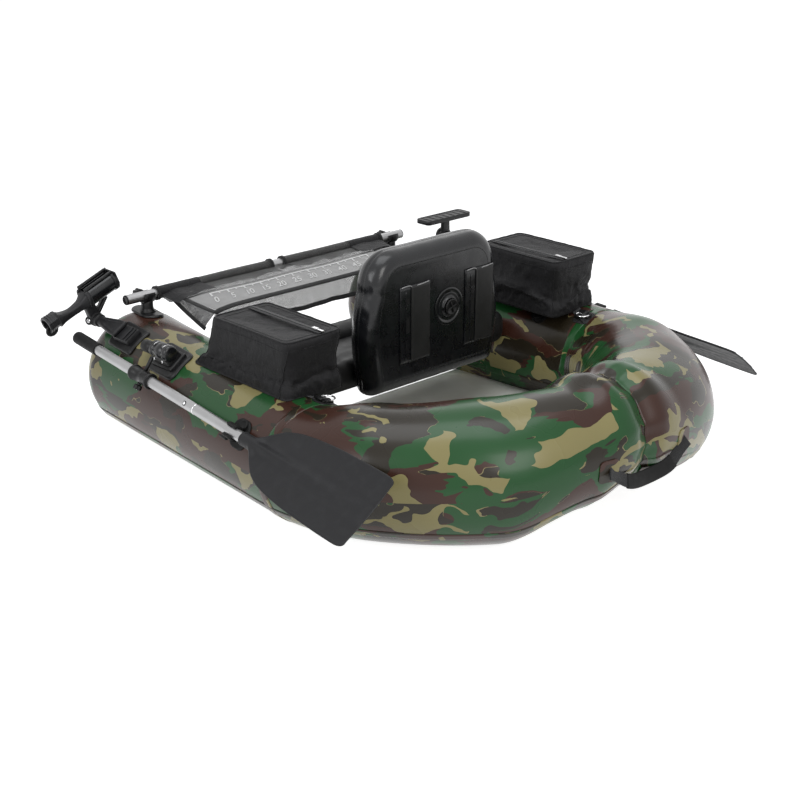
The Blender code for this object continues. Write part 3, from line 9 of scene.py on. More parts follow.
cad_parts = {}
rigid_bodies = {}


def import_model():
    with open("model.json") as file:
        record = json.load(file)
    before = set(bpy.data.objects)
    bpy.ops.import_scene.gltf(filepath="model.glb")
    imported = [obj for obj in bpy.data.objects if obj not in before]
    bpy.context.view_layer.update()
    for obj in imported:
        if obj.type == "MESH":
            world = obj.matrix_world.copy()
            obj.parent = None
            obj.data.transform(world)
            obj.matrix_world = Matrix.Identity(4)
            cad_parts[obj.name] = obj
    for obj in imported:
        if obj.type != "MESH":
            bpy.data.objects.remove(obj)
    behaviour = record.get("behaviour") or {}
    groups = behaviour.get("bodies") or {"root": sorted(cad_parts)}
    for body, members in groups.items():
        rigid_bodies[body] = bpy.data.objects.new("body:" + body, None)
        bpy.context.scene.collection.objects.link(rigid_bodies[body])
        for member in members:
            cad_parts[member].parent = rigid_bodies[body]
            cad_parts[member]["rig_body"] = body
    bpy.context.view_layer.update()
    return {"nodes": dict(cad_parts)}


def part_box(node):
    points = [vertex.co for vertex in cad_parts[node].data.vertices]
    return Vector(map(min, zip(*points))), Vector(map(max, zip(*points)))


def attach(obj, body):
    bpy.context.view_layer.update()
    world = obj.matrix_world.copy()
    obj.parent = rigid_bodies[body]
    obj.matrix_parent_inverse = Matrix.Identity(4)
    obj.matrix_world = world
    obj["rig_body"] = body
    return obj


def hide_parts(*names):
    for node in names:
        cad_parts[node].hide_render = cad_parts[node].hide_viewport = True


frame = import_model()
nodes = frame["nodes"]
sides = {"port": -1.0, "starboard": 1.0}

# The sizes below count from the middle between the two chambers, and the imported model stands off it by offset,
# which the cross bar's box gives.
barMiddle = (-0.011, 0.529)
barLow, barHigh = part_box("cross_bar")
offset = np.array(((barLow.x + barHigh.x) / 2 - barMiddle[0], (barLow.y + barHigh.y) / 2 - barMiddle[1], 0.0))


def put(name, points, faces, material, uv=None, smooth=True):
    # points in metres counted from the chambers' middle, faces as index rows, uv one pair per point
    mesh = bpy.data.meshes.new(name)
    mesh.from_pydata((np.asarray(points, float) + offset).tolist(), [], faces)
    if uv is not None:
        layer = mesh.uv_layers.new(name="UVMap")
        corner = np.zeros(len(mesh.loops), int)
        mesh.loops.foreach_get("vertex_index", corner)
        layer.data.foreach_set("uv", np.asarray(uv, float)[corner].ravel())
    mesh.polygons.foreach_set("use_smooth", np.full(len(mesh.polygons), smooth))
    mesh.materials.append(material)
    mesh.update()
    piece = bpy.data.objects.new(name, mesh)
    bpy.context.scene.collection.objects.link(piece)
    return piece


def gridFaces(rows, columns, closedRows=False, closedColumns=False, first=0):
    # quads between neighbouring points of a rows x columns grid, wrapping round where closed
    r = np.arange(rows if closedRows else rows - 1)
    c = np.arange(columns if closedColumns else columns - 1)
    a, b = np.meshgrid(r, c, indexing="ij")
    nextA, nextB = (a + 1) % rows, (b + 1) % columns
    quads = np.stack((a * columns + b, nextA * columns + b, nextA * columns + nextB, a * columns + nextB), -1)
    return (quads.reshape(-1, 4) + first).tolist()


def arcLengths(points, axis):
    # running length along one axis of a grid of points
    step = np.linalg.norm(np.diff(points, axis=axis), axis=-1)
    zero = np.zeros_like(np.take(step, [0], axis=axis))
    return np.concatenate((zero, np.cumsum(step, axis=axis)), axis=axis)


def grid(name, points, material, closedRows=False, closedColumns=False, caps=False, smooth=True):
    # a surface P(row, column); its UV map holds the running length in metres along the two directions
    points = np.asarray(points, float)
    rows, columns = points.shape[:2]
    u = arcLengths(points, 0).mean(axis=1, keepdims=True) * np.ones((1, columns))
    v = arcLengths(points, 1)
    flat = points.reshape(-1, 3)
    faces = gridFaces(rows, columns, closedRows, closedColumns)
    uv = np.stack((u, v), -1).reshape(-1, 2)
    if caps:
        faces.append(list(range(columns))[::-1] if closedColumns else list(range(columns)))
        faces.append(list(range((rows - 1) * columns, rows * columns)))
    piece = put(name, flat, faces, material, uv, smooth)
    outward(piece)
    return piece


def outward(piece):
    # merges doubled points and turns every face of a closed shell outwards
    shell = bmesh.new()
    shell.from_mesh(piece.data)
    bmesh.ops.remove_doubles(shell, verts=shell.verts, dist=1e-6)
    bmesh.ops.recalc_face_normals(shell, faces=shell.faces)
    if all(edge.is_manifold for edge in shell.edges) and shell.calc_volume(signed=True) < 0:
        bmesh.ops.reverse_faces(shell, faces=shell.faces)
    shell.to_mesh(piece.data)
    shell.free()
    piece.data.update()


def unit(v):
    # directions of length one
    v = np.asarray(v, float)
    return v / np.maximum(np.linalg.norm(v, axis=-1, keepdims=True), 1e-12)


def pathFrames(path, up):
    # tangent, side and lift of each point on a path, the lift kept as near to up as it can be
    path = np.asarray(path, float)
    tangent = unit(np.gradient(path, axis=0))
    side = unit(np.cross(tangent, np.broadcast_to(np.asarray(up, float), path.shape)))
    return tangent, side, unit(np.cross(side, tangent))


def carry(name, path, profile, up, material, closedPath=False, scale=None):
    # a closed profile (across, above) carried along a path
    tangent, side, lift = pathFrames(path, up)
    if closedPath:
        tangent = unit(np.roll(path, -1, 0) - np.roll(path, 1, 0))
        side = unit(np.cross(tangent, np.broadcast_to(np.asarray(up, float), np.shape(path))))
        lift = unit(np.cross(side, tangent))
    profile = np.asarray(profile, float)
    size = np.ones(len(path)) if scale is None else np.asarray(scale, float)
    points = (np.asarray(path, float)[:, None] + size[:, None, None] * (
            side[:, None] * profile[None, :, :1] + lift[:, None] * profile[None, :, 1:]))
    return grid(name, points, material, closedRows=closedPath, closedColumns=True, caps=not closedPath)


def fullTurn(count):
    # evenly spaced angles once round
    return np.linspace(0, 2 * math.pi, count, endpoint=False)


def ringProfile(radius, count=12):
    # a circle: (r cos t, r sin t)
    turn = fullTurn(count)
    return np.stack((radius * np.cos(turn), radius * np.sin(turn)), -1)


def spaced(loop, count):
    # points at equal lengths along a closed outline
    loop = np.vstack((loop, loop[:1]))
    length = arcLengths(loop, 0)
    where = np.linspace(0, length[-1], count, endpoint=False)
    return np.stack([np.interp(where, length, loop[:, k]) for k in range(2)], -1)


def tapeProfile(width, thickness, count=6):
    # a flat band with rounded edges: half circles joined by straight sides
    turn = np.linspace(-math.pi / 2, math.pi / 2, count)
    right = np.stack((width / 2 - thickness / 2 + thickness / 2 * np.cos(turn), thickness / 2 * np.sin(turn)), -1)
    return np.concatenate((right, -right))


def lathe(name, profile, at, material, count=48):
    # a profile of (radius, height) turned round the Z axis of a placement
    profile = np.asarray(profile, float)
    turn = fullTurn(count)
    points = np.stack((profile[:, :1] * np.cos(turn), profile[:, :1] * np.sin(turn),
            profile[:, 1:] * np.ones_like(turn)), -1)
    closed = bool(np.allclose(profile[0], profile[-1]))
    if closed:
        points = points[:-1]
    return grid(name, seat(points, at), material, closedRows=closed, closedColumns=True, caps=not closed)


def axes(origin, zAxis, xNear=(1.0, 0.0, 0.0)):
    # a placement as a 4 x 3 array: X, Y and Z directions and the origin
    z = unit(zAxis)
    x = np.asarray(xNear, float)
    x = unit(x - z * np.dot(x, z))
    return np.array((x, np.cross(z, x), z, origin))


def seat(points, at):
    # points given in a placement, brought to the float's own count
    return np.asarray(points, float) @ at[:3] + at[3]


def roundBox(name, size, at, material, bevel=0.002, segments=3, taper=1.0):
    # a block with rounded edges, narrower at its top by taper
    x, y, z = (s / 2 for s in size)
    low = np.array(((-x, -y, -z), (x, -y, -z), (x, y, -z), (-x, y, -z)))
    high = low * (taper, taper, -1.0)
    faces = [[3, 2, 1, 0], [4, 5, 6, 7], [0, 1, 5, 4], [1, 2, 6, 5], [2, 3, 7, 6], [3, 0, 4, 7]]
    piece = put(name, seat(np.concatenate((low, high)), at), faces, material, smooth=True)
    outward(piece)
    rounding = piece.modifiers.new("rounding", "BEVEL")
    rounding.width, rounding.segments, rounding.limit_method = bevel, segments, "ANGLE"
    rounding.harden_normals = False
    applyModifiers(piece)
    return piece


def applyModifiers(piece):
    # the mesh as its modifiers leave it becomes the piece's mesh
    bpy.context.view_layer.update()
    graph = bpy.context.evaluated_depsgraph_get()
    mesh = bpy.data.meshes.new_from_object(piece.evaluated_get(graph))
    piece.modifiers.clear()
    piece.data = mesh


def join(name, pieces):
    # several meshes made one piece
    shell = bmesh.new()
    materials = []
    for piece in pieces:
        start = len(shell.faces)
        shell.from_mesh(piece.data)
        shell.faces.ensure_lookup_table()
        for material in piece.data.materials:
            if material not in materials:
                materials.append(material)
        slot = materials.index(piece.data.materials[0])
        for face in shell.faces[start:]:
            face.material_index = slot
    mesh = bpy.data.meshes.new(name)
    shell.to_mesh(mesh)
    shell.free()
    for material in materials:
        mesh.materials.append(material)
    for piece in pieces:
        bpy.data.objects.remove(piece)
    whole = bpy.data.objects.new(name, mesh)
    bpy.context.scene.collection.objects.link(whole)
    return whole


def on(node, *pieces):
    # the pieces move with the body that holds a CAD node
    for piece in pieces:
        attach(piece, nodes[node]["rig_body"])
    return pieces[0]


def insteadOf(piece, *names):
    # the piece rides with the CAD nodes and is shown in their place
    on(names[0], piece)
    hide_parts(*names)
    return piece


def finish(material, *names):
    # CAD nodes that are shown as they are get a better material
    for name in names:
        node = nodes[name]
        node.data.materials.clear()
        node.data.materials.append(material)


def smoothStep(t):
    # 3 t squared less 2 t cubed, held between 0 and 1
    t = np.clip(t, 0, 1)
    return t * t * (3 - 2 * t)


def easedSteps(t, knots, heights):
    # smooth steps from knot to knot
    knots, heights = np.asarray(knots), np.asarray(heights)
    i = np.clip(np.searchsorted(knots, t, side="left") - 1, 0, len(knots) - 2)
    share = smoothStep((t - knots[i]) / (knots[i + 1] - knots[i]))
    return heights[i] + (heights[i + 1] - heights[i]) * share


def cubicSteps(at, knots, values):
    # a smooth line through the values: cubic pieces with averaged slopes that never overshoot
    knots, values = np.array(knots), np.array(values)
    slope = np.diff(values) / np.diff(knots)
    before, after = slope[:-1], slope[1:]
    middle = np.where(after * before > 0, 2 * after * before / (after + before + 1e-12), 0)
    tangent = np.concatenate(([slope[0]], middle, [slope[-1]]))
    k = np.clip(np.searchsorted(knots, at) - 1, 0, len(knots) - 2)
    wide = knots[k + 1] - knots[k]
    t = np.clip((at - knots[k]) / wide, 0, 1)
    return (values[k] * (1 + 2 * t) * (1 - t) ** 2 + tangent[k] * wide * t * (1 - t) ** 2
        + values[k + 1] * t ** 2 * (3 - 2 * t) - tangent[k + 1] * wide * t ** 2 * (1 - t))


def ripple(points, scale, seed, count=7):
    # smooth unevenness: a sum of sine waves in fixed directions drawn from a seed, from about -1 to 1
    dice = np.random.default_rng(seed)
    total = np.zeros(points.shape[:-1])
    for wave in range(count):
        direction = unit(dice.normal(size=3)) * 2 * math.pi / scale * dice.uniform(0.5, 1.6)
        total += np.sin(points @ direction + dice.uniform(0, 2 * math.pi) + 1.3 * np.sin(
                points @ np.roll(direction, 1) * 0.6))
    return total / count * 1.6


def times(colour, share, more=0.0):
    # a colour made lighter or darker, at most white
    return tuple(min(1, c * share + more) for c in colour)


class Finish:
    # a material being put together: node() adds a node and links what it is given
    def __init__(self, name, colour, roughness, metallic=0.0, **fixed):
        # colour as three shares or a socket; fixed holds further inputs of the shader by name
        self.material = bpy.data.materials.new(name)
        self.material.use_nodes = True
        self.tree = self.material.node_tree
        self.shader = self.tree.nodes["Principled BSDF"]
        self.set(self.shader, "Base Color", colour if hasattr(colour, "links") else (*colour, 1.0))
        self.set(self.shader, "Roughness", roughness)
        self.set(self.shader, "Metallic", metallic)
        for socket, value in fixed.items():
            self.set(self.shader, socket, value)

    def set(self, node, socket, value):
        # an input takes a link from a socket, or else the value itself
        target = node.inputs[socket]
        if isinstance(value, bpy.types.NodeSocket):
            self.tree.links.new(value, target)
        else:
            target.default_value = value

    def node(self, kind, out=0, settings=None, **inputs):
        # i0, i1, ... are inputs by number, other words are inputs by name
        made = self.tree.nodes.new("ShaderNode" + kind)
        for key, value in (settings or {}).items():
            setattr(made, key, value)
        for socket, value in inputs.items():
            key = int(socket[1:]) if socket[0] == "i" and socket[1:].isdigit() else socket.replace("_", " ")
            self.set(made, key, value)
        return made.outputs[out]

    def math(self, operation, a, b=0.0):
        # operation(a, b) of two sockets or numbers
        return self.node("Math", settings={"operation": operation}, i0=a, i1=b)

    def coords(self, kind="Object", scale=(1, 1, 1), turn=(0, 0, 0), move=(0, 0, 0)):
        # texture place: object metres or the UV map's metres, scaled, turned and moved
        source = self.tree.nodes.new("ShaderNodeTexCoord").outputs[kind]
        return self.node("Mapping", Vector=source, Scale=scale, Rotation=turn, Location=move)

    def noise(self, vector, scale, detail=2.0, roughness=0.5, distortion=0.0, out=0):
        # smooth noise from 0 to 1, scale in waves per metre
        return self.node("TexNoise", out, Vector=vector, Scale=scale, Detail=detail, Roughness=roughness,
            Distortion=distortion)

    def ramp(self, value, stops, kind="LINEAR"):
        # stops are (place, grey or colour), read off at value
        made = self.tree.nodes.new("ShaderNodeValToRGB")
        made.color_ramp.interpolation = kind
        elements = made.color_ramp.elements
        while len(elements) < len(stops):
            elements.new(0.5)
        for element, (place, colour) in zip(elements, stops):
            element.position = place
            element.color = (colour, colour, colour, 1) if isinstance(colour, (int, float)) else (*colour, 1)
        self.tree.links.new(value, made.inputs["Fac"])
        return made.outputs["Color"]

    def mix(self, factor, a, b):
        # a where the factor is 0, b where it is 1
        made = self.tree.nodes.new("ShaderNodeMix")
        made.data_type = "RGBA"
        self.set(made, 0, factor)
        for slot, value in ((6, a), (7, b)):
            self.set(made, slot, value if isinstance(value, bpy.types.NodeSocket) else (*value, 1.0))
        return made.outputs[2]

    def dull(self, value, low, high):
        # roughness that changes over the surface with a noise
        self.set(self.shader, "Roughness", self.ramp(value, ((0.3, low), (0.7, high))))

    def tint(self, factor, colour, low, high):
        # a colour that fades from low to high times itself
        self.set(self.shader, "Base Color", self.mix(factor, times(colour, low), times(colour, high)))

    def bump(self, height, strength, distance, under=None):
        # height in metres is height times distance; under is a coarser bump below it
        made = self.tree.nodes.new("ShaderNodeBump")
        made.inputs["Strength"].default_value = strength
        made.inputs["Distance"].default_value = distance
        self.tree.links.new(height, made.inputs["Height"])
        if under is not None:
            self.tree.links.new(under, made.inputs["Normal"])
        self.set(self.shader, "Normal", made.outputs["Normal"])
        return made.outputs["Normal"]


camo = dict(
    green=(0.013, 0.082, 0.02), brown=(0.05, 0.018, 0.011), dark=(0.02, 0.015, 0.008), sand=(0.3, 0.262, 0.112),
    hair=(0.3, 0.255, 0.12), greyHaze=(0.17, 0.17, 0.15), zoom=(1.28, 1.28, 1.28), warp=0.2,
    wobble=(0.06, 0.06, 0.06), tear=0.105, combScale=(12.0, 105.0, 60.0), brownLevel=0.5, darkLevel=0.553,
    sandLevel=0.485, sandWidth=0.5, gateLevel=0.5, hairLevel=0.55, hairWidth=0.003, specular=0.28, coat=0.12)


def camoFinish(name, kind="UV", sheen=0.27):
    # printed woodland pattern: brown fields over green, comb-edged dark shapes, sand where a wide level line
    # of a noise runs, and hairlines of sand along some dark edges
    f = Finish(name, (0.1, 0.1, 0.1), sheen, **{
            "Specular IOR Level": camo["specular"], "Coat Weight": camo["coat"], "Coat Roughness": 0.14})
    place = f.coords(kind, scale=camo["zoom"])
    broad = f.noise(place, 5.2, 1.0, out=1)
    wobble = f.noise(place, 19.0, 1.0, out=1)
    shift = f.node("VectorMath", settings={"operation": "SCALE"}, i0=broad, Scale=camo["warp"])
    shift = f.node("VectorMath", settings={"operation": "MULTIPLY_ADD"}, i0=wobble, i1=camo["wobble"], i2=shift)
    spot = f.node("VectorMath", settings={"operation": "ADD"}, i0=place, i1=shift)
    comb = f.noise(f.coords(kind, scale=camo["combScale"]), 1.0, 0.0)
    combed = f.ramp(f.noise(place, 6.0, 0.0), ((0.47, 0.0), (0.56, 1.0)))
    pull = f.node("CombineXYZ", X=f.math("MULTIPLY", f.math("MULTIPLY", comb, combed), camo["tear"]))
    torn = f.node("VectorMath", settings={"operation": "ADD"}, i0=spot, i1=pull)

    def field(where, scale, move, turn):
        # a noise drawn out along one way and turned
        at = f.node("Mapping", Vector=where, Scale=scale, Rotation=(0, 0, turn), Location=move)
        return f.noise(at, 1.0, 0.8, 0.35)

    brownField = field(torn, (3.9, 7.4, 5.0), (8.3, 5.2, 1.9), -0.3)
    darkField = field(torn, (5.4, 12.5, 8.0), (1.7, 9.6, 4.2), 0.2)
    sandField = field(spot, (4.6, 9.0, 6.0), (3.1, 0.4, 7.7), 0.45)
    gate = field(spot, (6.4, 9.4, 7.0), (6.6, 2.3, 3.3), -0.55)
    brown = f.math("GREATER_THAN", brownField, camo["brownLevel"])
    dark = f.math("GREATER_THAN", darkField, camo["darkLevel"])
    width = f.math("MULTIPLY", f.math("SUBTRACT", gate, camo["gateLevel"]), camo["sandWidth"])
    sand = f.math("LESS_THAN", f.math("ABSOLUTE", f.math("SUBTRACT", sandField, camo["sandLevel"])), width)
    hair = f.math("ABSOLUTE", f.math("SUBTRACT", darkField, camo["hairLevel"]))
    hair = f.math("LESS_THAN", hair, camo["hairWidth"])
    hair = f.math("MULTIPLY", hair, f.math("GREATER_THAN", f.noise(place, 11.0, 0.0), 0.56))
    fade = f.noise(f.coords("Object"), 3.0, 2.0)
    colour = f.mix(brown, camo["green"], camo["brown"])
    for mask, tone in ((dark, "dark"), (hair, "hair"), (sand, "sand")):
        colour = f.mix(mask, colour, camo[tone])
    # a pale grey haze mixed in, up to 2 percent, over patches of a noise
    colour = f.mix(f.ramp(fade, ((0.3, 0.0), (0.8, 0.02))), colour, camo["greyHaze"])
    f.set(f.shader, "Base Color", colour)
    grain = f.noise(f.coords("Object"), 900.0, 2.0)
    slack = f.noise(f.coords("Object"), 7.0, 0.0)
    f.bump(grain, 0.08, 0.0003, f.bump(slack, 0.18, 0.003))
    f.dull(f.noise(f.coords("Object"), 9.0, 2.0), sheen - 0.04, sheen + 0.07)
    return f.material


def vinylFinish(name, colour, roughness, coat, grainScale=700.0, slackScale=26.0, slackDepth=0.002):
    # smooth coated cloth: a fine grain, slack bulges, and a finish that is duller in patches
    f = Finish(name, colour, roughness, **{"Specular IOR Level": 0.34, "Coat Weight": coat, "Coat Roughness": 0.16})
    place = f.coords("Object")
    fade = f.noise(place, 8.0, 4.0)
    f.tint(fade, colour, 0.75, 1.3)
    f.dull(f.noise(place, 30.0, 5.0), roughness - 0.07, roughness + 0.1)
    f.bump(f.noise(place, grainScale, 2.0), 0.18, 0.0003, f.bump(f.noise(place, slackScale, 2.0), 0.35, slackDepth))
    return f.material


def weaveFinish(name, colour, pitch, roughness, depth=0.0004, kind="UV", crumple=0.0, sheen=0.25):
    # crossed threads: two wave patterns at right angles, with painted shade in the hollows between threads and
    # lighter crowns, over the crumples of a thin cloth
    f = Finish(name, colour, roughness, **{"Specular IOR Level": 0.22, "Sheen Weight": sheen, "Sheen Roughness": 0.5})
    place = f.coords(kind)
    waves = []
    for direction in ("X", "Y"):
        waves.append(f.node("TexWave", 1, settings={"wave_type": "BANDS", "bands_direction": direction},
                Vector=place, Scale=math.pi / (10 * pitch) * 2, Distortion=0.6, Detail=1.0))
    threads = f.math("MAXIMUM", waves[0], waves[1])
    # painted shade: the colour darkens where the threads dip and lightens on their crowns
    shade = f.ramp(threads, ((0.2, times(colour, 0.6)), (0.9, times(colour, 1.35))))
    fade = f.noise(f.coords("Object"), 20.0, 4.0)
    f.set(f.shader, "Base Color", f.mix(f.math("MULTIPLY", fade, 0.5), shade, times(colour, 1.6)))
    under = None
    if crumple:
        folds = f.noise(f.coords("Object", scale=(1, 1, 0.6)), 26.0, 3.0, 0.55, 1.2)
        under = f.bump(folds, 0.7, crumple)
    f.bump(threads, 0.5, depth, under)
    return f.material


def netFinish(name, colour, pitch, cover, see):
    # open mesh: threads where either of two wave patterns is high, holes between them
    f = Finish(name, colour, 0.65, **{"Sheen Weight": 0.2})
    place = f.coords("UV")
    lines = [f.node("TexWave", 1, settings={"wave_type": "BANDS", "bands_direction": d}, Vector=place,
            Scale=math.pi / (10 * pitch) * 2) for d in ("X", "Y")]
    high = f.math("MAXIMUM", lines[0], lines[1])
    thread = f.math("GREATER_THAN", high, 1 - cover)
    patches = f.noise(f.coords("Object"), 40.0, 3.0)
    f.set(f.shader, "Alpha", f.math("MAXIMUM", thread, f.math("MULTIPLY", patches, see)))
    f.tint(patches, colour, 0.7, 1.4)
    f.bump(high, 0.4, 0.0003)
    f.material.blend_method = "HASHED"
    return f.material


def plasticFinish(name, colour, roughness, grain=1600.0, depth=0.00012, wear=0.35, specular=0.3):
    # moulded plastic: spark-eroded grain, faint flow marks and paler rubbed places
    f = Finish(name, colour, roughness, **{"Specular IOR Level": specular})
    place = f.coords("Object")
    rub = f.noise(place, 45.0, 6.0, 0.65)
    worn = f.ramp(rub, ((0.5, 0.0), (0.78, wear)))
    f.set(f.shader, "Base Color", f.mix(worn, colour, times(colour, 2.2, 0.02)))
    f.dull(f.noise(place, 90.0, 4.0), roughness - 0.08, roughness + 0.08)
    f.bump(f.noise(place, grain, 2.0), 0.25, depth, f.bump(f.noise(place, 60.0, 2.0), 0.12, 0.0006))
    return f.material


def metalFinish(name, colour, roughness, kind="UV", lines=(30.0, 1800.0, 1800.0)):
    # drawn or polished metal: fine marks along the piece and a cloudy anodised film
    f = Finish(name, colour, roughness, 1.0)
    place = f.coords(kind, scale=lines)
    drawn = f.noise(place, 1.0, 3.0)
    cloud = f.noise(f.coords("Object"), 22.0, 4.0)
    f.tint(cloud, colour, 0.86, 1.06)
    f.dull(drawn, roughness - 0.05, roughness + 0.1)
    f.bump(drawn, 0.1, 0.00015)
    return f.material


camoVinyl = camoFinish("camo_vinyl")
camoPatch = camoFinish("camo_patch", "Object", 0.42)
glossVinyl = vinylFinish("black_glossy_vinyl", (0.0065, 0.007, 0.0085), 0.27, 0.3, 500.0, 30.0, 0.0016)
dullVinyl = vinylFinish("black_dull_vinyl", (0.011, 0.011, 0.011), 0.48, 0.05, 900.0, 40.0, 0.0012)
floorVinyl = vinylFinish("pale_floor_vinyl", (0.92, 0.92, 0.77), 0.42, 0.1, 600.0, 12.0, 0.003)
nylon = weaveFinish("bag_nylon", (0.0085, 0.0083, 0.0092), 0.0011, 0.58, 0.00022, "Object", 0.0065, 0.04)
binding = weaveFinish("binding_tape", (0.014, 0.014, 0.014), 0.0016, 0.8, 0.0003)
webbing = weaveFinish("black_webbing", (0.016, 0.016, 0.017), 0.0022, 0.72, 0.0005)
netSheer = netFinish("apron_net", (0.011, 0.011, 0.01), 0.0016, 0.44, 0.8)
netDense = netFinish("sleeve_flap_net", (0.009, 0.009, 0.008), 0.0014, 0.62, 1.0)
netBand = netFinish("hanging_net", (0.042, 0.038, 0.032), 0.0016, 0.4, 0.4)
aluminium = metalFinish("anodised_aluminium", (0.42, 0.42, 0.425), 0.36)
chrome = metalFinish("bright_steel", (0.72, 0.72, 0.73), 0.14, "Object", (60.0, 60.0, 60.0))
blackPlastic = plasticFinish("black_plastic", (0.0075, 0.0075, 0.008), 0.36)
greyPlastic = plasticFinish("grey_black_plastic", (0.017, 0.017, 0.0185), 0.42)
bladePlastic = plasticFinish("blade_plastic", (0.017, 0.017, 0.0185), 0.5, 900.0, 0.0002, 0.25, 0.24)
softRubber = plasticFinish("soft_rubber", (0.008, 0.008, 0.008), 0.62, 1200.0, 0.0002, 0.3, 0.22)
whiteInk = plasticFinish("white_ink", (0.82, 0.82, 0.8), 0.55, 1500.0, 0.0001, 0.0)
paleBead = plasticFinish("glue_bead", (0.42, 0.42, 0.42), 0.3, 1200.0, 0.0001, 0.2)
print("materials ready")


chambers = dict(
    bowTipY=0.637, noseLength=0.1, bowTubeX=0.4315, turnTubeX=0.486, turnStartY=-0.1775,
    seamY=-0.587, turnEase=0.175, seamEase=0.218, seamSweep=math.radians(9.6), bowRadius=0.148,
    shares=(0.0, 0.3, 0.6, 0.82, 0.92, 1.0), radii=(0.134, 0.148, 0.156, 0.134, 0.134, 0.122),
    lifts=(0.0, 0.0, 0.0, 0.052, 0.074, 0.081), squareUp=0.72, press=0.0022,
    noseSteps=39, straightSteps=89, turnSteps=220, rings=230, around=128,
    foldAt=1.02, foldReach=0.16, foldPitch=210, foldDepth=0.0009, puckers=15, puckerReach=0.05, puckerDepth=0.0016,
    weldWidth=0.024, outerWeld=math.radians(-36), innerWeld=math.radians(206), girthY=-0.235, girthWidth=0.026)


def chamberLine():
    # centre, radius and heading from the bow tip to the stern seam, and the running length
    c = chambers
    noseY = c["bowTipY"] - c["noseLength"]
    lean = np.linspace(math.pi / 2, 0, c["noseSteps"] + 1)[:-1]
    nose = np.stack((np.full(len(lean), c["bowTubeX"]), noseY + c["noseLength"] * np.sin(lean),
            np.full(len(lean), c["bowRadius"])), -1)
    noseRadius = c["bowRadius"] * np.cos(lean)
    t = np.linspace(0, 1, c["straightSteps"] + 1)[:-1]
    straightRadius = c["bowRadius"] + (c["radii"][0] - c["bowRadius"]) * t
    straight = np.stack((c["bowTubeX"] + (c["turnTubeX"] - c["bowTubeX"]) * t,
            noseY + (c["turnStartY"] - noseY) * t, straightRadius), -1)
    u = np.linspace(0, 1, c["turnSteps"])
    v = 1 - u
    start = np.array((c["turnTubeX"], c["turnStartY"]))
    seam = np.array((0.0, c["seamY"]))
    out = start - (0.0, c["turnEase"])
    back = seam + c["seamEase"] * np.array((math.cos(c["seamSweep"]), -math.sin(c["seamSweep"])))
    spot = (v ** 3)[:, None] * start + (3 * v * v * u)[:, None] * out + (3 * v * u * u)[:, None] * back + (
        u ** 3)[:, None] * seam
    run = (v * v)[:, None] * (out - start) + (2 * v * u)[:, None] * (back - out) + (u * u)[:, None] * (seam - back)
    heading = np.arctan2(-run[:, 0], -run[:, 1])
    square = np.clip((u - c["squareUp"]) / (1 - c["squareUp"]), 0, 1)
    heading += (math.pi / 2 - heading) * square
    radius = easedSteps(u, c["shares"], c["radii"])
    height = radius + easedSteps(u, c["shares"], c["lifts"])
    centre = np.concatenate((nose, straight, np.column_stack((spot, height))))
    radii = np.concatenate((noseRadius, straightRadius, radius))
    headings = np.concatenate((np.zeros(len(nose) + len(straight)), heading))
    return centre, radii, headings, arcLengths(centre, 0)


lineCentre, lineRadius, lineHeading, lineLength = chamberLine()
chamberLength = lineLength[-1]


def skin(side, along, around, rise=0.0):
    # the point on a chamber at a length along it from the bow tip and an angle around it, raised off the cloth
    along, around, rise = np.broadcast_arrays(along, around, rise)
    centre = np.stack([np.interp(along, lineLength, lineCentre[:, k]) for k in range(3)], -1)
    radius = np.interp(along, lineLength, lineRadius)
    heading = np.interp(along, lineLength, lineHeading)
    across = np.stack((np.cos(heading), -np.sin(heading), np.zeros_like(heading)), -1)
    points = centre + (radius + rise)[..., None] * (
        np.cos(around)[..., None] * across + np.sin(around)[..., None] * np.array((0.0, 0.0, 1.0)))
    points[..., 2] = np.maximum(points[..., 2] - chambers["press"], 0.0)
    points[..., 0] *= side
    return points


def alongAt(y):
    # the length along a chamber where its straight tube passes y
    straight = (lineHeading == 0) & (lineRadius > 0.12)
    order = np.argsort(lineCentre[straight, 1])
    return float(np.interp(y, lineCentre[straight, 1][order], lineLength[straight][order]))


def makeHull(name, side):
    # the skin function over (along, around) with slack: soft hollows along the inner side of the turn and fine
    # puckers beside the stern seam
    c = chambers
    first = c["noseSteps"]
    along = np.concatenate((lineLength[:first:2], np.linspace(lineLength[first], chamberLength, c["rings"])))
    a, b = np.meshgrid(along, fullTurn(c["around"]), indexing="ij")
    flat = skin(side, a, b)
    nearSeam = np.exp(-((chamberLength - a) / c["puckerReach"]) ** 2)
    inner = np.clip(-np.cos(b), 0, 1) ** 2 * np.exp(-((a - c["foldAt"]) / c["foldReach"]) ** 2)
    folds = np.sin(a * c["foldPitch"] + 3 * np.sin(b * 3)) * inner * c["foldDepth"]
    puckers = (np.cos(b * c["puckers"] + 1.5 * np.sin(b * 4)) - 1) * nearSeam * c["puckerDepth"]
    low = np.clip((flat[..., 2] - 0.004) / 0.02, 0, 1)
    points = skin(side, a, b, (folds + puckers + ripple(flat, 0.3, 4) * 0.0004 - 0.0004) * low)
    rows, columns = points.shape[:2]
    radius = np.maximum(np.interp(a, lineLength, lineRadius), 0.05)
    uv = np.stack((a + (0.7 if side > 0 else 0.0), (b - math.pi / 2) * radius + side), -1)
    # the last column is the first one again, so that the print doesn't jump
    points = np.concatenate((points, points[:, :1]), 1)
    girth = np.stack((np.zeros((rows, 1)), 2 * math.pi * radius[:, :1]), -1)
    uv = np.concatenate((uv, uv[:, :1] + girth), 1)
    faces = gridFaces(rows, columns + 1)
    flatPoints = points.reshape(-1, 3)
    last = len(flatPoints)
    seamMiddle = points[-1].mean(0)
    faces += [[(rows - 1) * (columns + 1) + j, (rows - 1) * (columns + 1) + j + 1, last] for j in range(columns)]
    hull = put(name, np.vstack((flatPoints, seamMiddle)), faces, camoVinyl,
        np.vstack((uv.reshape(-1, 2), uv[-1].mean(0))))
    outward(hull)
    return hull


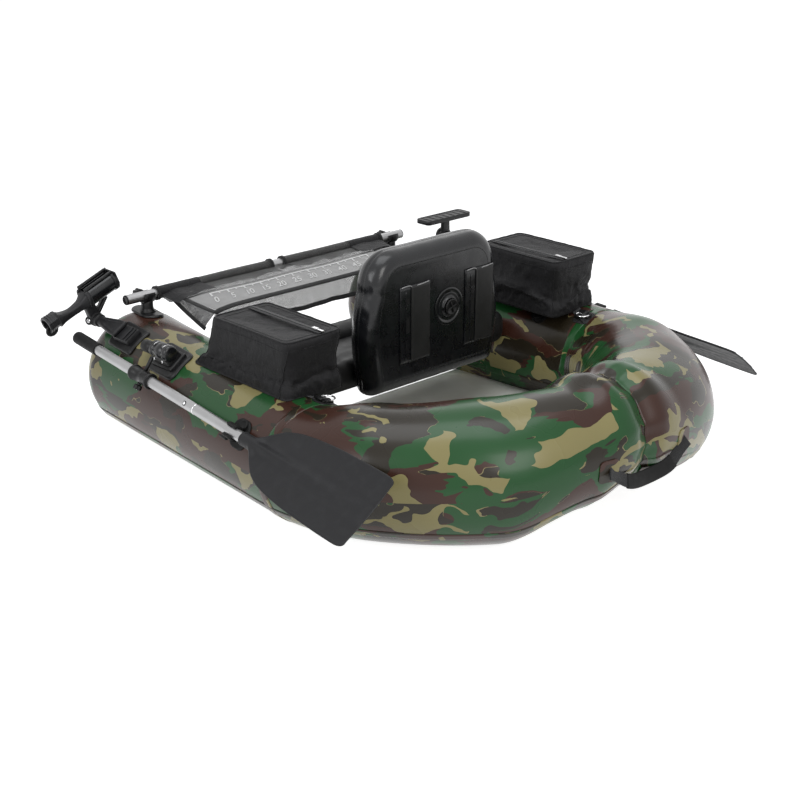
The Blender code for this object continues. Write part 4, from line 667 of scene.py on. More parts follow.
def seamBand(name, side, alongs, arounds, width, height=0.0007):
    # a welded strip lying on a chamber: the path runs over (along, around), the profile is a low flat hump
    path = skin(side, alongs, arounds, 0.0)
    lift = unit(skin(side, alongs, arounds, 0.01) - path)
    tangent = unit(np.gradient(path, axis=0))
    across = unit(np.cross(tangent, lift))
    share = np.array((-0.5, -0.46, -0.2, 0.0, 0.2, 0.46, 0.5))
    rise = np.array((-0.4, 1.0, 1.0, 1.0, 1.0, 1.0, -0.4)) * height
    points = path[:, None] + across[:, None] * (share * width)[None, :, None] + lift[:, None] * rise[None, :, None]
    return grid(name, points, camoVinyl)


for sideName, side in sides.items():
    hull = makeHull("hull_skin_" + sideName, side)
    insteadOf(hull, "hull_" + sideName)
    run = np.linspace(0.06, chamberLength - 0.012, 260)
    for name in ("outerWeld", "innerWeld"):
        weld = name.replace("Weld", "_weld_") + sideName
        on("hull_" + sideName, seamBand(weld, side, run, np.full_like(run, chambers[name]), chambers["weldWidth"]))
    turn = np.linspace(math.radians(-80), math.radians(250), 150)
    girthAt = np.full_like(turn, alongAt(chambers["girthY"]))
    on("hull_" + sideName, seamBand("girth_weld_" + sideName, side, girthAt, turn, chambers["girthWidth"]))
print("chambers ready")


well = dict(frontY=0.212, halfWidth=0.417, sternDepth=0.556, topZ=0.034, thickness=0.005, puff=0.004, weldStep=0.28,
    middle=(0.0, -0.1))


def makeFloor():
    # a half ellipse behind a straight front edge, filled by shrinking its outline to the middle:
    # P(s, t) = centre + (outline(t) - centre) * s, with a slight pillow between welds
    half, front = well["halfWidth"], well["frontY"]
    turn = np.linspace(0, -math.pi, 90)
    curve = np.stack((half * np.cos(turn), well["sternDepth"] * np.sin(turn)), -1)
    ends = np.linspace(0, 1, 24)[1:-1, None]
    corners = np.array(((-half, 0.0), (-half, front), (half, front), (half, 0.0)))
    outline = np.concatenate([curve] + [a + (b - a) * ends for a, b in zip(corners[:-1], corners[1:])])
    share = np.linspace(0.02, 1.0, 34)[:, None, None]
    flat = well["middle"] + (outline[None] - well["middle"]) * share
    pillow = np.abs(np.cos(flat[..., 0] * math.pi / well["weldStep"])) ** 0.6
    pillow = well["puff"] * pillow * smoothStep((1 - share[..., 0]) * 7)
    z = well["topZ"] - 0.0035 + pillow * 0.8
    top = np.concatenate((flat, z[..., None]), -1)
    under = top[::-1].copy()
    under[..., 2] = well["topZ"] - well["thickness"] + 0.0002
    return grid("well_floor_cloth", np.concatenate((top, under)), floorVinyl, closedColumns=True, caps=True)


floorCloth = makeFloor()
insteadOf(floorCloth, "floor_panel")

cushion = dict(halfWidth=0.342, rearY=0.0012, frontY=0.19, lowZ=0.174, topZ=0.25, corner=0.036, crown=0.006,
    edge=0.02, welds=((-0.23, 0.006), (0.0, 0.006), (0.23, 0.006)),
    rollY=0.158, rollZ=0.251, rollRadius=0.0335, rollHalf=0.298, rollEnd=0.02)


def roundedOutline(halfX, halfY, corner, count=120):
    # evenly spaced points round a rectangle with round corners, starting at the middle of its right side
    turn = np.linspace(0, math.pi / 2, 16)
    quarter = np.stack((np.cos(turn), np.sin(turn)), -1) * corner
    corners = []
    for k, (sx, sy) in enumerate(((1, 1), (-1, 1), (-1, -1), (1, -1))):
        c, s = math.cos(k * math.pi / 2), math.sin(k * math.pi / 2)
        turned = quarter @ np.array(((c, s), (-s, c)))
        corners.append(turned + (sx * (halfX - corner), sy * (halfY - corner)))
    return spaced(np.concatenate(corners), count)


def pillow(name, halfX, halfY, corner, lowZ, topZ, middle, material, crown, edge, count=160, levels=26, welds=()):
    # rings of a rounded rectangle: up the side on a flattened half circle, then shrinking over the crowned top;
    # weld lines across it are narrow valleys
    turn = np.linspace(-math.pi / 2, math.pi / 2, levels)
    height = (lowZ + topZ) / 2 + (topZ - lowZ) / 2 * np.sign(np.sin(turn)) * np.abs(np.sin(turn)) ** 0.75
    inset = edge * (1 - np.cos(turn) ** 0.8)
    inner = np.linspace(0, 1, 26)[1:]
    rings = []
    for z, pull in zip(height, inset):
        loop = roundedOutline(halfX - pull, halfY - pull, max(corner - pull / 2, 0.006), count)
        rings.append(np.column_stack((loop, np.full(count, z))))
    base = roundedOutline(halfX - edge, halfY - edge, max(corner - edge / 2, 0.006), count)
    for share in inner:
        z = topZ + crown * smoothStep(share * 2.2)
        rings.append(np.column_stack((base * (1 - share * 0.995), np.full(count, z))))
    lower = [np.column_stack((base * (1 - share * 0.995), np.full(count, lowZ))) for share in inner[::-1]]
    points = np.array(lower + rings)
    above = points[..., 2] > (lowZ + topZ) / 2
    for at, depth in welds:
        points[..., 2] -= above * depth * np.exp(-((points[..., 0] - at) / 0.006) ** 2)
    drawn = 0.0022 * np.exp(-((points[..., 2] - (lowZ + topZ) / 2) / 0.004) ** 2)
    points[..., :2] -= unit(points[..., :2]) * drawn[..., None]
    points[..., :2] += np.asarray(middle)
    return grid(name, points, material, closedColumns=True, caps=True)


def makeSeatRoll():
    # the thigh roll: a round bolster whose ends close on a small disc, r(x) (cos t, sin t) with fine wrinkles above
    c = cushion
    end = np.linspace(0, math.pi / 2, 9)
    half, cap = c["rollHalf"], c["rollEnd"]
    along = np.concatenate((-half + cap * (1 - np.cos(end)), np.linspace(-half + cap, half - cap, 60)[1:-1],
            half - cap + cap * np.sin(end)))
    size = np.concatenate((0.3 + 0.7 * np.cos(math.pi / 2 - end), np.ones(58), 0.3 + 0.7 * np.cos(end)))
    turn = fullTurn(48)
    wrinkle = 1 + 0.012 * np.sin(along * 190)[:, None] * np.clip(np.sin(turn), 0, 1) ** 2
    reach = c["rollRadius"] * (size[:, None] * wrinkle)
    points = np.stack((along[:, None] * np.ones_like(turn), c["rollY"] + reach * np.cos(turn),
            c["rollZ"] + reach * np.sin(turn)), -1)
    return grid("seat_roll", points, dullVinyl, closedColumns=True, caps=True)


def makeSeatPad():
    # the seat's pillow with its two long edges at rearY and frontY
    c = cushion
    middle = (0.0, (c["rearY"] + c["frontY"]) / 2)
    return pillow("seat_pad", c["halfWidth"], (c["frontY"] - c["rearY"]) / 2, c["corner"], c["lowZ"], c["topZ"],
        middle, dullVinyl, c["crown"], c["edge"], welds=c["welds"])


seatPad = makeSeatPad()
seatRoll = makeSeatRoll()
insteadOf(seatPad, "seat_cushion")
on("seat_cushion", seatRoll)

back = dict(rearY=-0.08, frontY=-0.0004, lowZ=0.172, topZ=0.516, lowHalf=0.212, midHalf=0.224, topHalf=0.206,
    topCorner=0.08, lowCorner=0.024, edge=0.034, seamPinch=0.0022)


def backOutline(inset, count=200):
    # the backrest's outline in x and z pulled in by an inset: narrow foot corners, wide shoulders, bowed sides
    b = back
    inset = min(inset, b["topHalf"] - 0.004)
    lowCorner = max(b["lowCorner"] - inset / 2, 0.003)
    highCorner = max(b["topCorner"] - inset * 0.8, 0.006)
    low = (b["lowHalf"] - inset, b["lowZ"] + inset)
    high = (b["topHalf"] - inset, b["topZ"] - inset)
    turn = np.linspace(-math.pi / 2, 0, 12)
    foot = np.stack((low[0] - lowCorner * (1 - np.cos(turn)), low[1] + lowCorner * (1 + np.sin(turn))), -1)
    z = np.linspace(low[1] + lowCorner, high[1] - highCorner, 24)[1:-1]
    t = (z - z[0]) / (z[-1] - z[0])
    straight = low[0] + (high[0] - low[0]) * t
    bow = (b["midHalf"] - (b["lowHalf"] + b["topHalf"]) / 2) * 4 * t * (1 - t)
    sideLine = np.stack((straight + bow, z), -1)
    turn = np.linspace(0, math.pi / 2, 26)
    shoulder = np.stack((high[0] - highCorner * (1 - np.cos(turn)), high[1] - highCorner * (1 - np.sin(turn))), -1)
    right = np.concatenate((foot, sideLine, shoulder))
    return spaced(np.concatenate((right, right[::-1] * (-1, 1))), count)


def panelLoop(pull):
    # the outline pulled in; past 0.13 it is scaled down to the panel's middle
    middle = (0.0, (back["lowZ"] + back["topZ"]) / 2)
    return middle + (backOutline(min(pull, 0.13)) - middle) * min(1.0, max(0.02, (0.2 - pull) / 0.07))


def makeBackrest():
    # rings of that outline: they shrink from the rear panel's middle to its rim, run round the thick edge on a
    # half circle with a welded seam in the middle, and shrink again over the crowned front
    b = back
    thick = b["frontY"] - b["rearY"]
    turn = np.linspace(-math.pi / 2, math.pi / 2, 31)
    depth = b["rearY"] + thick * (0.5 + 0.5 * np.sin(turn))
    inset = b["edge"] * (1 - np.cos(turn) ** 0.9)
    inset[15] += b["seamPinch"]
    rings = []
    shrink = np.linspace(0.2, b["edge"], 16)[:-1]
    for pull in shrink:
        loop = panelLoop(pull)
        panel = 0.0006 * smoothStep((pull - b["edge"]) / 0.02)
        rings.append(np.column_stack((loop[:, 0], np.full(len(loop), b["rearY"] + panel), loop[:, 1])))
    for y, pull in zip(depth, inset):
        loop = backOutline(pull)
        rings.append(np.column_stack((loop[:, 0], np.full(len(loop), y), loop[:, 1])))
    for pull in shrink[::-1]:
        loop = panelLoop(pull)
        rings.append(np.column_stack((loop[:, 0], np.full(len(loop), b["frontY"]), loop[:, 1])))
    points = np.array(rings)
    # slack creases that run in from the edge at the lower corners, and soft dents along the sides
    x, y, z = points[..., 0], points[..., 1], points[..., 2]
    rim = np.exp(-((np.abs(y - (b["rearY"] + b["frontY"]) / 2) - thick * 0.25) / (thick * 0.22)) ** 2)
    sideShare = smoothStep((np.abs(x) - 0.15) / 0.05)
    dent = (0.001 * np.sin(z * 95 + 2.0 * np.sin(y * 60)) * sideShare + 0.0007 * ripple(points, 0.11, 9)) * rim
    points[..., 0] -= np.sign(x) * np.abs(dent) * 0.9
    points[..., 2] -= np.abs(dent) * (1 - sideShare)
    return grid("backrest_skin", points, glossVinyl, closedColumns=True, caps=True)


backrest = makeBackrest()
insteadOf(backrest, "backrest_cushion")



def edgeBead(name, inset, y, width):
    # a flat bead that follows the backrest's outline at one depth
    loop = backOutline(inset)
    path = np.column_stack((loop[:, 0], np.full(len(loop), y), loop[:, 1]))
    return carry(name, path, tapeProfile(width, 0.0012, 4), (0, -1, 0), glossVinyl, closedPath=True)


# raised weld round the rear panel, and the welded seam round the edge
on("backrest_cushion", edgeBead("rear_panel_weld", back["edge"] + 0.001, back["rearY"] + 0.0004, 0.0036),
    edgeBead("edge_weld", back["seamPinch"] + 0.0006, (back["rearY"] + back["frontY"]) / 2, 0.003))

channel = dict(x={"port": -0.077, "starboard": 0.139}, width=0.098, height=0.188, z=0.336, flap=0.064)


def makeChannel(sideName):
    # a strap channel on the rear panel: a welded base sheet, a raised flap that bulges over the strap's room and,
    # beside it, a dark strip of painted shade that stands for an open slot, both edges rolled
    rear = back["rearY"] - 0.0004
    x0 = channel["x"][sideName]
    h = channel["height"]
    v = np.linspace(-h / 2, h / 2, 40)
    u = np.linspace(-channel["width"] / 2, channel["width"] / 2, 44)
    uu, vv = np.meshgrid(u, v, indexing="ij")
    edgeU = smoothStep((channel["width"] / 2 - np.abs(uu)) / 0.002)
    edgeV = smoothStep((h / 2 - np.abs(vv)) / 0.002)
    lift = 0.002 * edgeU * edgeV + 0.0003 * ripple(np.stack((uu, vv, uu * 0), -1), 0.05, 3)
    base = np.stack((x0 + uu, rear - np.abs(lift), channel["z"] + vv), -1)
    baseSheet = grid("channel_base_" + sideName, base, glossVinyl)
    u = np.linspace(0, 1, 34)
    uu, vv = np.meshgrid(u, np.linspace(-h / 2 + 0.003, h / 2 - 0.003, 44), indexing="ij")
    bulge = 0.0045 * np.sin(math.pi * np.clip(uu * 1.04, 0, 1)) ** 0.5 * (0.85 + 0.15 * np.cos(vv * 26))
    free = 0.003 * np.exp(-(uu / 0.06) ** 2)
    flapX = x0 + channel["width"] / 2 - channel["flap"] + uu * (channel["flap"] - 0.002)
    flap = np.stack((flapX, rear - 0.0021 - bulge * 0.55 - free * 0.6, channel["z"] + vv), -1)
    flapSheet = grid("channel_flap_" + sideName, flap, dullVinyl)
    for sheetPiece, wall in ((baseSheet, 0.0008), (flapSheet, 0.001)):
        thick = sheetPiece.modifiers.new("wall", "SOLIDIFY")
        thick.thickness, thick.offset = wall, 1.0
        applyModifiers(sheetPiece)
    # pale bead of glue that curls along the head of the channel
    t = np.linspace(0, 1, 60)
    left = x0 - channel["width"] / 2
    curl = 0.01 * np.exp(-((t - 0.46) / 0.09) ** 2)
    beadZ = channel["z"] + h / 2 - 0.001 + 0.0015 * np.sin(t * 7) - curl
    beadPath = np.stack((left + 0.004 + t * (channel["width"] - 0.01), np.full(60, rear - 0.003), beadZ), -1)
    # a weld down the base's free edge
    t = np.linspace(0, 1, 40)
    weldZ = channel["z"] + h / 2 - 0.004 - t * (h - 0.008)
    weldPath = np.stack((np.full(40, left + 0.003), np.full(40, rear - 0.0026), weldZ), -1)
    # a dark strip between the base's rim and the flap, painted shade that stands for the open slot, with a bright
    # rolled lip
    slotX = x0 + channel["width"] / 2 - channel["flap"] - 0.008
    slotZ = channel["z"] + np.linspace(h / 2 - 0.012, -h / 2 + 0.01, 30)
    slotPath = np.stack((np.full(30, slotX), np.full(30, rear - 0.0023), slotZ), -1)
    trims = (("channel_bead_", beadPath, ringProfile(0.0013, 8), paleBead),
        ("slot_bead_", weldPath, ringProfile(0.0006, 8), glossVinyl),
        ("channel_slot_shade_", slotPath, tapeProfile(0.013, 0.0008, 4), softRubber),
        ("channel_lip_", slotPath - (0.0085, 0.0006, 0), ringProfile(0.0015, 8), glossVinyl))
    return [baseSheet, flapSheet] + [carry(name + sideName, path, profile, (0, -1, 0), material)
        for name, path, profile, material in trims]


for sideName in sides:
    parts = makeChannel(sideName)
    insteadOf(parts[0], "channel_" + sideName)
    on("channel_" + sideName, *parts[1:])

valve = dict(
    at=(0.036, 0.352), teeth=24, toothDepth=0.018, wingTurn=0.35, wing=(0.029, 0.0034, 0.0036), wingHeight=0.0122,
    flange=((0.0015, -0.0005), (0.036, -0.0005), (0.0358, 0.0009), (0.033, 0.0015), (0.03, 0.0013),
        (0.0262, 0.0013), (0.024, 0.0022), (0.0232, 0.0062), (0.0222, 0.0071), (0.0206, 0.0071),
        (0.0202, 0.005), (0.0015, 0.005)),
    patch=((0.034, 0.0003), (0.046, 0.0003), (0.047, 0.0007), (0.0462, 0.0013), (0.034, 0.0011),
        (0.034, 0.0003)),
    cap=((0.0012, 0.0076), (0.0185, 0.0076), (0.0196, 0.0082), (0.0197, 0.0112), (0.0188, 0.0122), (0.016, 0.0124),
        (0.015, 0.0112), (0.003, 0.011), (0.0012, 0.011)))


def makeValve():
    # screw valve: flange welded to the panel, ribbed ring, knurled cap with a cross grip
    x, z = valve["at"]
    at = axes((x, back["rearY"] - 0.0002, z), (0, -1, 0), (1, 0, 0))
    insteadOf(lathe("valve_flange", valve["flange"], at, glossVinyl, 72), "backrest_valve")
    on("backrest_valve", lathe("valve_patch", valve["patch"], at, glossVinyl, 72))
    turn = fullTurn(96)
    knurl = 1 + valve["toothDepth"] * np.cos(turn * valve["teeth"])
    rings = []
    for r, h in valve["cap"]:
        reach = r * np.where(r > 0.018, knurl, 1)
        rings.append(np.stack((reach * np.cos(turn), reach * np.sin(turn), np.full_like(turn, h)), -1))
    cap = grid("valve_cap", seat(np.array(rings), at), blackPlastic, closedColumns=True, caps=True)
    insteadOf(cap, "backrest_valve_cap")
    for k in range(2):
        angle = valve["wingTurn"] + k * math.pi / 2
        along = seat((math.cos(angle), math.sin(angle), 0), at) - at[3]
        wingAt = axes(seat((0, 0, valve["wingHeight"]), at), (0, -1, 0), along)
        on("backrest_valve_cap", roundBox("valve_wing_%d" % k, valve["wing"], wingAt, blackPlastic, 0.001, 2))


makeValve()
print("seat and backrest ready")


bag = dict(innerX=0.342, outerX=0.514, rearY=-0.14, frontLowY=0.208, frontTopY=0.135, lowZ=0.262, topZ=0.4,
    corner=0.02, puff=0.005, shift={"port": (0.0, 0.0), "starboard": (0.01, 0.008)}, zipX=0.402, slack=0.085,
    wallRows=30, columns=120, wallCap=0.011, lidCap=0.0035, seed={"port": 21, "starboard": 34})
strap = dict(startY=-0.128, run=0.07, startAngle=104, width=0.025, buckleY=-0.163, buckleAngle=111,
    body=(0.032, 0.026, 0.007), prong=(0.02, 0.02, 0.005))


def tubeAt(y):
    # centre line x and radius of the straight tube at y
    c = chambers
    noseY = c["bowTipY"] - c["noseLength"]
    share = (noseY - y) / (noseY - c["turnStartY"])
    return (c["bowTubeX"] + (c["turnTubeX"] - c["bowTubeX"]) * share,
        c["bowRadius"] + (c["radii"][0] - c["bowRadius"]) * share)


def tubePlace(side, y, degrees, rise=0.0):
    # placement on a tube: Z out of the cloth, Y to the bow
    x, radius = tubeAt(y)
    normal = np.array((side * math.cos(math.radians(degrees)), 0.0, math.sin(math.radians(degrees))))
    spot = np.array((side * x, y, radius - chambers["press"])) + (radius + rise) * normal
    return axes(spot, normal, np.cross((0.0, 1.0, 0.0), normal))


def restOnTube(points, side, rise):
    # points inside a tube are moved straight out to its cloth
    x, radius = tubeAt(points[..., 1])
    away = np.stack((points[..., 0] * side - x, points[..., 2] - radius + chambers["press"]), -1)
    far = np.linalg.norm(away, axis=-1)
    push = np.maximum(1.0, (radius + rise) / np.maximum(far, 1e-6))
    out = points.copy()
    out[..., 0] = side * (x + away[..., 0] * push)
    out[..., 2] = radius - chambers["press"] + away[..., 1] * push
    return out


def bagRing(level, inset, puff, out, raised):
    # a rounded rectangle at one height; its front leans back, its sides bulge by puff between the corners
    count = bag["columns"]
    front = bag["frontLowY"] + (bag["frontTopY"] - bag["frontLowY"]) * level
    height = bag["lowZ"] + (bag["topZ"] + raised - bag["lowZ"]) * level
    halfX = (bag["outerX"] - bag["innerX"]) / 2 - inset - puff
    halfY = (front - bag["rearY"]) / 2 - inset - puff
    loop = roundedOutline(halfX, halfY, max(bag["corner"] - inset / 2, 0.004), count)
    bulge = puff * (1 - (loop[:, :1] / halfX) ** 2).clip(0, 1) * (0, 1) * np.sign(loop) + puff * (
        1 - (loop[:, 1:] / halfY) ** 2).clip(0, 1) * (1, 0) * np.sign(loop)
    loop = loop + bulge + ((bag["innerX"] + bag["outerX"]) / 2 + out, (front + bag["rearY"]) / 2)
    return np.column_stack((loop, np.full(count, height)))


settling = dict(frames=18, pin=0.6, pressure=0.35, gravity=0.35, quality=6, tension=20, bending=0.5, damping=3.0,
    mass=0.25)


def crumple(piece, hold, cap, slack, seedPush):
    # cloth cut larger than its form by slack buckles into folds; hold is the share that pins each point
    count = len(piece.data.vertices)
    before = np.zeros(count * 3)
    piece.data.vertices.foreach_get("co", before)
    start = before.reshape(-1, 3)
    piece.data.vertices.foreach_set("co", (start + seedPush).ravel())
    pins = piece.vertex_groups.new(name="sewn")
    for share in np.unique(np.round(hold, 1)):
        pins.add(np.nonzero(np.round(hold, 1) == share)[0].tolist(), float(share), "REPLACE")
    cloth = piece.modifiers.new("settling", "CLOTH")
    rules = cloth.settings
    rules.vertex_group_mass = "sewn"
    rules.pin_stiffness = settling["pin"]
    rules.shrink_min = -slack
    rules.use_pressure = True
    rules.uniform_pressure_force = settling["pressure"]
    rules.effector_weights.gravity = settling["gravity"]
    rules.quality = settling["quality"]
    rules.tension_stiffness = rules.compression_stiffness = settling["tension"]
    rules.bending_stiffness = settling["bending"]
    rules.air_damping = settling["damping"]
    rules.mass = settling["mass"]
    for step in range(1, settling["frames"] + 1):
        bpy.context.scene.frame_set(step)
    mesh = bpy.data.meshes.new_from_object(piece.evaluated_get(bpy.context.evaluated_depsgraph_get()))
    after = np.zeros(count * 3)
    mesh.vertices.foreach_get("co", after)
    move = np.nan_to_num(after.reshape(-1, 3) - start)
    far = np.linalg.norm(move, axis=1, keepdims=True)
    move *= np.tanh(far / cap[:, None]) * cap[:, None] / np.maximum(far, 1e-9)
    piece.modifiers.clear()
    piece.vertex_groups.clear()
    bpy.data.meshes.remove(mesh)
    bpy.context.scene.frame_set(1)
    return start + move


def makeBag(sideName, side):
    # rings go up the wall, round the top edge and shrink over the lid, then the same inwards below
    out, raised = bag["shift"][sideName]
    rings = []
    for share in np.linspace(0.96, 0.05, 9):
        ring = bagRing(0.0, 0.0035, 0.0, out, raised)
        middle = ring.mean(0)
        rings.append(middle + (ring - middle) * (1 - share, 1 - share, 1))
    bottomRows = len(rings)
    for level in np.linspace(0.0, 0.95, bag["wallRows"]):
        puff = bag["puff"] * math.sin(math.pi * min(1, level * 1.05))
        rings.append(bagRing(level, 0.0035 * (1 - level * 0.4), puff, out, raised))
    for k in range(1, 5):
        angle = math.pi / 2 * k / 4
        rings.append(bagRing(0.95 + 0.05 * math.sin(angle), 0.002 + 0.0075 * (1 - math.cos(angle)), 0.0005, out,
                raised))
    topRow = len(rings) - 1
    lid = rings[-1]
    middle = lid.mean(0)
    for share in np.linspace(0.05, 0.97, 18):
        ring = middle + (lid - middle) * (1 - share, 1 - share, 1)
        ring[:, 2] -= 0.0035 * smoothStep(share * 1.6)
        rings.append(ring)
    points = np.array(rings)
    points[..., 0] *= side
    piece = grid("bag_" + sideName, points, nylon, closedColumns=True, caps=True)
    flat = np.zeros(len(piece.data.vertices) * 3)
    piece.data.vertices.foreach_get("co", flat)
    flat = flat.reshape(-1, 3) - offset
    seed = bag["seed"][sideName]
    high = smoothStep((flat[:, 2] - bag["lowZ"] - 0.006) / 0.05)
    lidPlace = smoothStep((flat[:, 2] - bag["topZ"] - raised + 0.006) / 0.004)
    cap = bag["wallCap"] + (bag["lidCap"] - bag["wallCap"]) * lidPlace
    push = np.stack([ripple(flat, 0.05, seed + k) for k in range(3)], -1) * 0.0016 * high[:, None]
    flat = crumple(piece, 1 - high, cap, bag["slack"], push) - offset
    flat = flat + unit(flat - flat.mean(0)) * (ripple(flat, 0.028, seed + 9) * 0.0007)[:, None]
    flat = restOnTube(flat, side, 0.0012)
    piece.data.vertices.foreach_set("co", (flat + offset).ravel())
    piece.data.update()
    rows = flat[:points.shape[0] * points.shape[1]].reshape(points.shape)
    return piece, rows, bottomRows, topRow


def bagNormals(rows):
    # outward directions of a closed grid of points
    down = np.gradient(rows, axis=0)
    along = np.roll(rows, -1, 1) - np.roll(rows, 1, 1)
    normal = unit(np.cross(along, down))
    middle = rows.mean((0, 1))
    return normal * np.sign(((rows - middle) * normal).sum(-1).mean())


def makeBagTrim(sideName, side, rows, bottomRows, topRow):
    # piping, seams and zip follow the settled cloth
    normals = bagNormals(rows)
    parts = []
    ridge = rows[topRow - 1] + normals[topRow - 1] * 0.0008
    parts.append(carry("bag_piping_" + sideName, ridge, ringProfile(0.0019, 8), (0, 0, 1), nylon, closedPath=True))
    for k, row in enumerate((topRow + 2, topRow - 5)):
        line = rows[row] + normals[row] * 0.0003
        up = (0, 0, 1) if k == 0 else (side, 0, 0)
        seam = tapeProfile(0.0028, 0.0011, 4)
        parts.append(carry("lid_seam_%d_%s" % (k, sideName), line, seam, up, nylon, closedPath=True))
    corners = [int(np.argmax(rows[topRow, :, 0] * sx + rows[topRow, :, 1] * sy))
        for sx, sy in ((1, 1), (1, -1), (-1, 1), (-1, -1))]
    for k, column in enumerate(corners):
        line = rows[bottomRows:topRow, column] + normals[bottomRows:topRow, column] * 0.0004
        parts.append(carry("corner_seam_%d_%s" % (k, sideName), line, ringProfile(0.0014, 8),
                tuple(normals[topRow - 8, column]), nylon))
    # zip: two tapes with the coil between them, from the rear edge to the front
    y = np.linspace(bag["rearY"] + 0.012, bag["frontTopY"] - 0.014, 160)
    top = bag["topZ"] + bag["shift"][sideName][1]
    path = np.column_stack((np.full(160, side * bag["zipX"]), y, np.full(160, top - 0.0016)))
    parts.append(carry("zip_tape_" + sideName, path, tapeProfile(0.02, 0.0012, 4), (0, 0, 1), webbing))
    teeth = 1 + 0.22 * np.sin(np.arange(160) * math.pi * 0.9)
    coil = ringProfile(0.0016, 8) * (1.3, 0.6)
    parts.append(carry("zip_coil_" + sideName, path + (0, 0, 0.0009), coil, (0, 0, 1), blackPlastic, scale=teeth))
    # strap under the bag that runs aft over the tube, with its side-release buckle
    b = strap
    turn = np.linspace(0, 1, 40)
    y = b["startY"] - b["run"] * turn
    x, radius = tubeAt(y)
    angle = math.radians(b["startAngle"]) + 0.25 * turn
    reach = radius + 0.0022 + 0.003 * np.exp(-((turn - 0.55) / 0.2) ** 2)
    path = np.column_stack((side * (x + reach * np.cos(angle)), y,
            radius - chambers["press"] + reach * np.sin(angle)))
    up = (side * math.cos(angle[0]), 0, math.sin(angle[0]))
    parts.append(carry("bag_strap_" + sideName, path, tapeProfile(b["width"], 0.0016, 4), up, webbing))
    place = tubePlace(side, b["buckleY"], b["buckleAngle"], 0.0065)
    tongue = axes(place[3] + place[1] * -0.018, place[2], place[0])
    parts.append(roundBox("buckle_body_" + sideName, b["body"], place, blackPlastic, 0.0022))
    parts.append(roundBox("buckle_prong_" + sideName, b["prong"], tongue, blackPlastic, 0.0018))
    return parts


for sideName, side in sides.items():
    bagPiece, bagRows, bottomRows, topRow = makeBag(sideName, side)
    insteadOf(bagPiece, "cargo_bag_" + sideName)
    on("cargo_bag_" + sideName, *makeBagTrim(sideName, side, bagRows, bottomRows, topRow))
print("bags ready")


apron = dict(x=(0.07, 0.2, 0.3, 0.35, 0.372), frontZ=(0.336, 0.337, 0.337, 0.336, 0.331), frontY=0.5134,
    rearY=(0.33, 0.33, 0.33, 0.328, 0.345), rearZ=(0.3325, 0.3335, 0.333, 0.3285, 0.3),
    bandY=(0.318, 0.318, 0.32, 0.336, 0.366), bandZ=(0.282, 0.283, 0.284, 0.281, 0.276), sag=0.003, halfWidth=0.352,
    stripHalfWidth=0.345, stripFrontY=0.456, netRearY=0.45, flapFrontY=0.5175, flapY=0.472,
    flaps=((-0.384, -0.026), (0.022, 0.366)), patchInnerX=(-0.262, 0.25), patchY=0.455, strapX=0.3505,
    strapY=(0.52, 0.329), gussetX=0.357, gussetSpread=0.008, gussetY=(0.505, 0.356), gussetZ=(0.327, 0.2795))
ruler = dict(lineY=0.436, firstX=-0.288, step=0.02623, long=(-0.0075, -0.02), short=(-0.004, -0.011), ink=0.0042,
    digitFirstX=-0.302, digitStep=0.0514, digitY=0.389, digitHeight=0.036, digitWidth=0.0145, digitLean=0.5)
sleeve = dict(x={"port": (-0.387, -0.022), "starboard": (0.016, 0.368)}, radius=0.015, y=0.529, z=0.336, slit=0.01,
    coverX={"port": (-0.3875, -0.258), "starboard": (0.249, 0.3685)}, coverRadius=0.0158, edgeRadius=0.0162)


def apronTable(key, x):
    # a table value at x, mirrored, with its corners rounded off by averaging over a short span
    spread = np.linspace(-0.012, 0.012, 7)
    reach = np.abs(np.asarray(x, float))[..., None] + spread
    return np.interp(np.abs(reach), apron["x"], apron[key]).mean(-1)


def apronPoint(x, y, rise=0.0):
    # the cloth's height over a point, between the bar and the rear edge
    x, y = np.broadcast_arrays(np.asarray(x, float), np.asarray(y, float))
    t = np.clip((apron["frontY"] - y) / (apron["frontY"] - apronTable("rearY", x)), 0, 1)
    z = apronTable("frontZ", x) + (apronTable("rearZ", x) - apronTable("frontZ", x)) * t
    z = z - apron["sag"] * np.sin(math.pi * t) + 0.0012 * np.sin(x * 24 + 2.0) * np.sin(math.pi * t) - 0.0008
    return np.stack((x, y, z + rise), -1)


def apronSheet(name, xs, frontY, rearShift, rise, material, rows=24):
    # cloth between a front line and the rear edge
    share = np.linspace(0, 1, rows)
    xx, tt = np.meshgrid(xs, share, indexing="ij")
    front = np.broadcast_to(np.asarray(frontY, float), xs.shape)[:, None]
    yy = front + (apronTable("rearY", xx) + rearShift - front) * tt
    return cloth(name, apronPoint(xx, yy, rise), material, "stretched", ["cross_bar"])


def hangingNet(xs, waves):
    # the band below the rear edge, in slow waves
    share = np.linspace(0, 1, 14)
    xx, ss = np.meshgrid(xs, share, indexing="ij")
    start = apronPoint(xx, apronTable("rearY", xx))
    end = np.stack((xx, apronTable("bandY", xx) + bandWave(xx), apronTable("bandZ", xx)), -1)
    band = start + (end - start) * ss[..., None]
    band[..., 1] += 0.0016 * np.sin(xx * 120 + 3 * ss) * np.sin(math.pi * ss)
    return cloth("hanging_net", band, waves, "hung", ["ruler_strip"])


def bandWave(x):
    # how far the band's lower edge swings out of line
    return 0.003 * np.sin(x * 34 + 1.0) + 0.0014 * np.sin(x * 90)


def cloth(name, points, material, held, restsOn):
    # a sheet laid as a grid
    piece = grid(name, points, material)
    return piece


def tape(name, path, up, width, thickness):
    # a folded binding sewn along an edge
    return carry(name, path, tapeProfile(width, thickness, 4), up, binding)


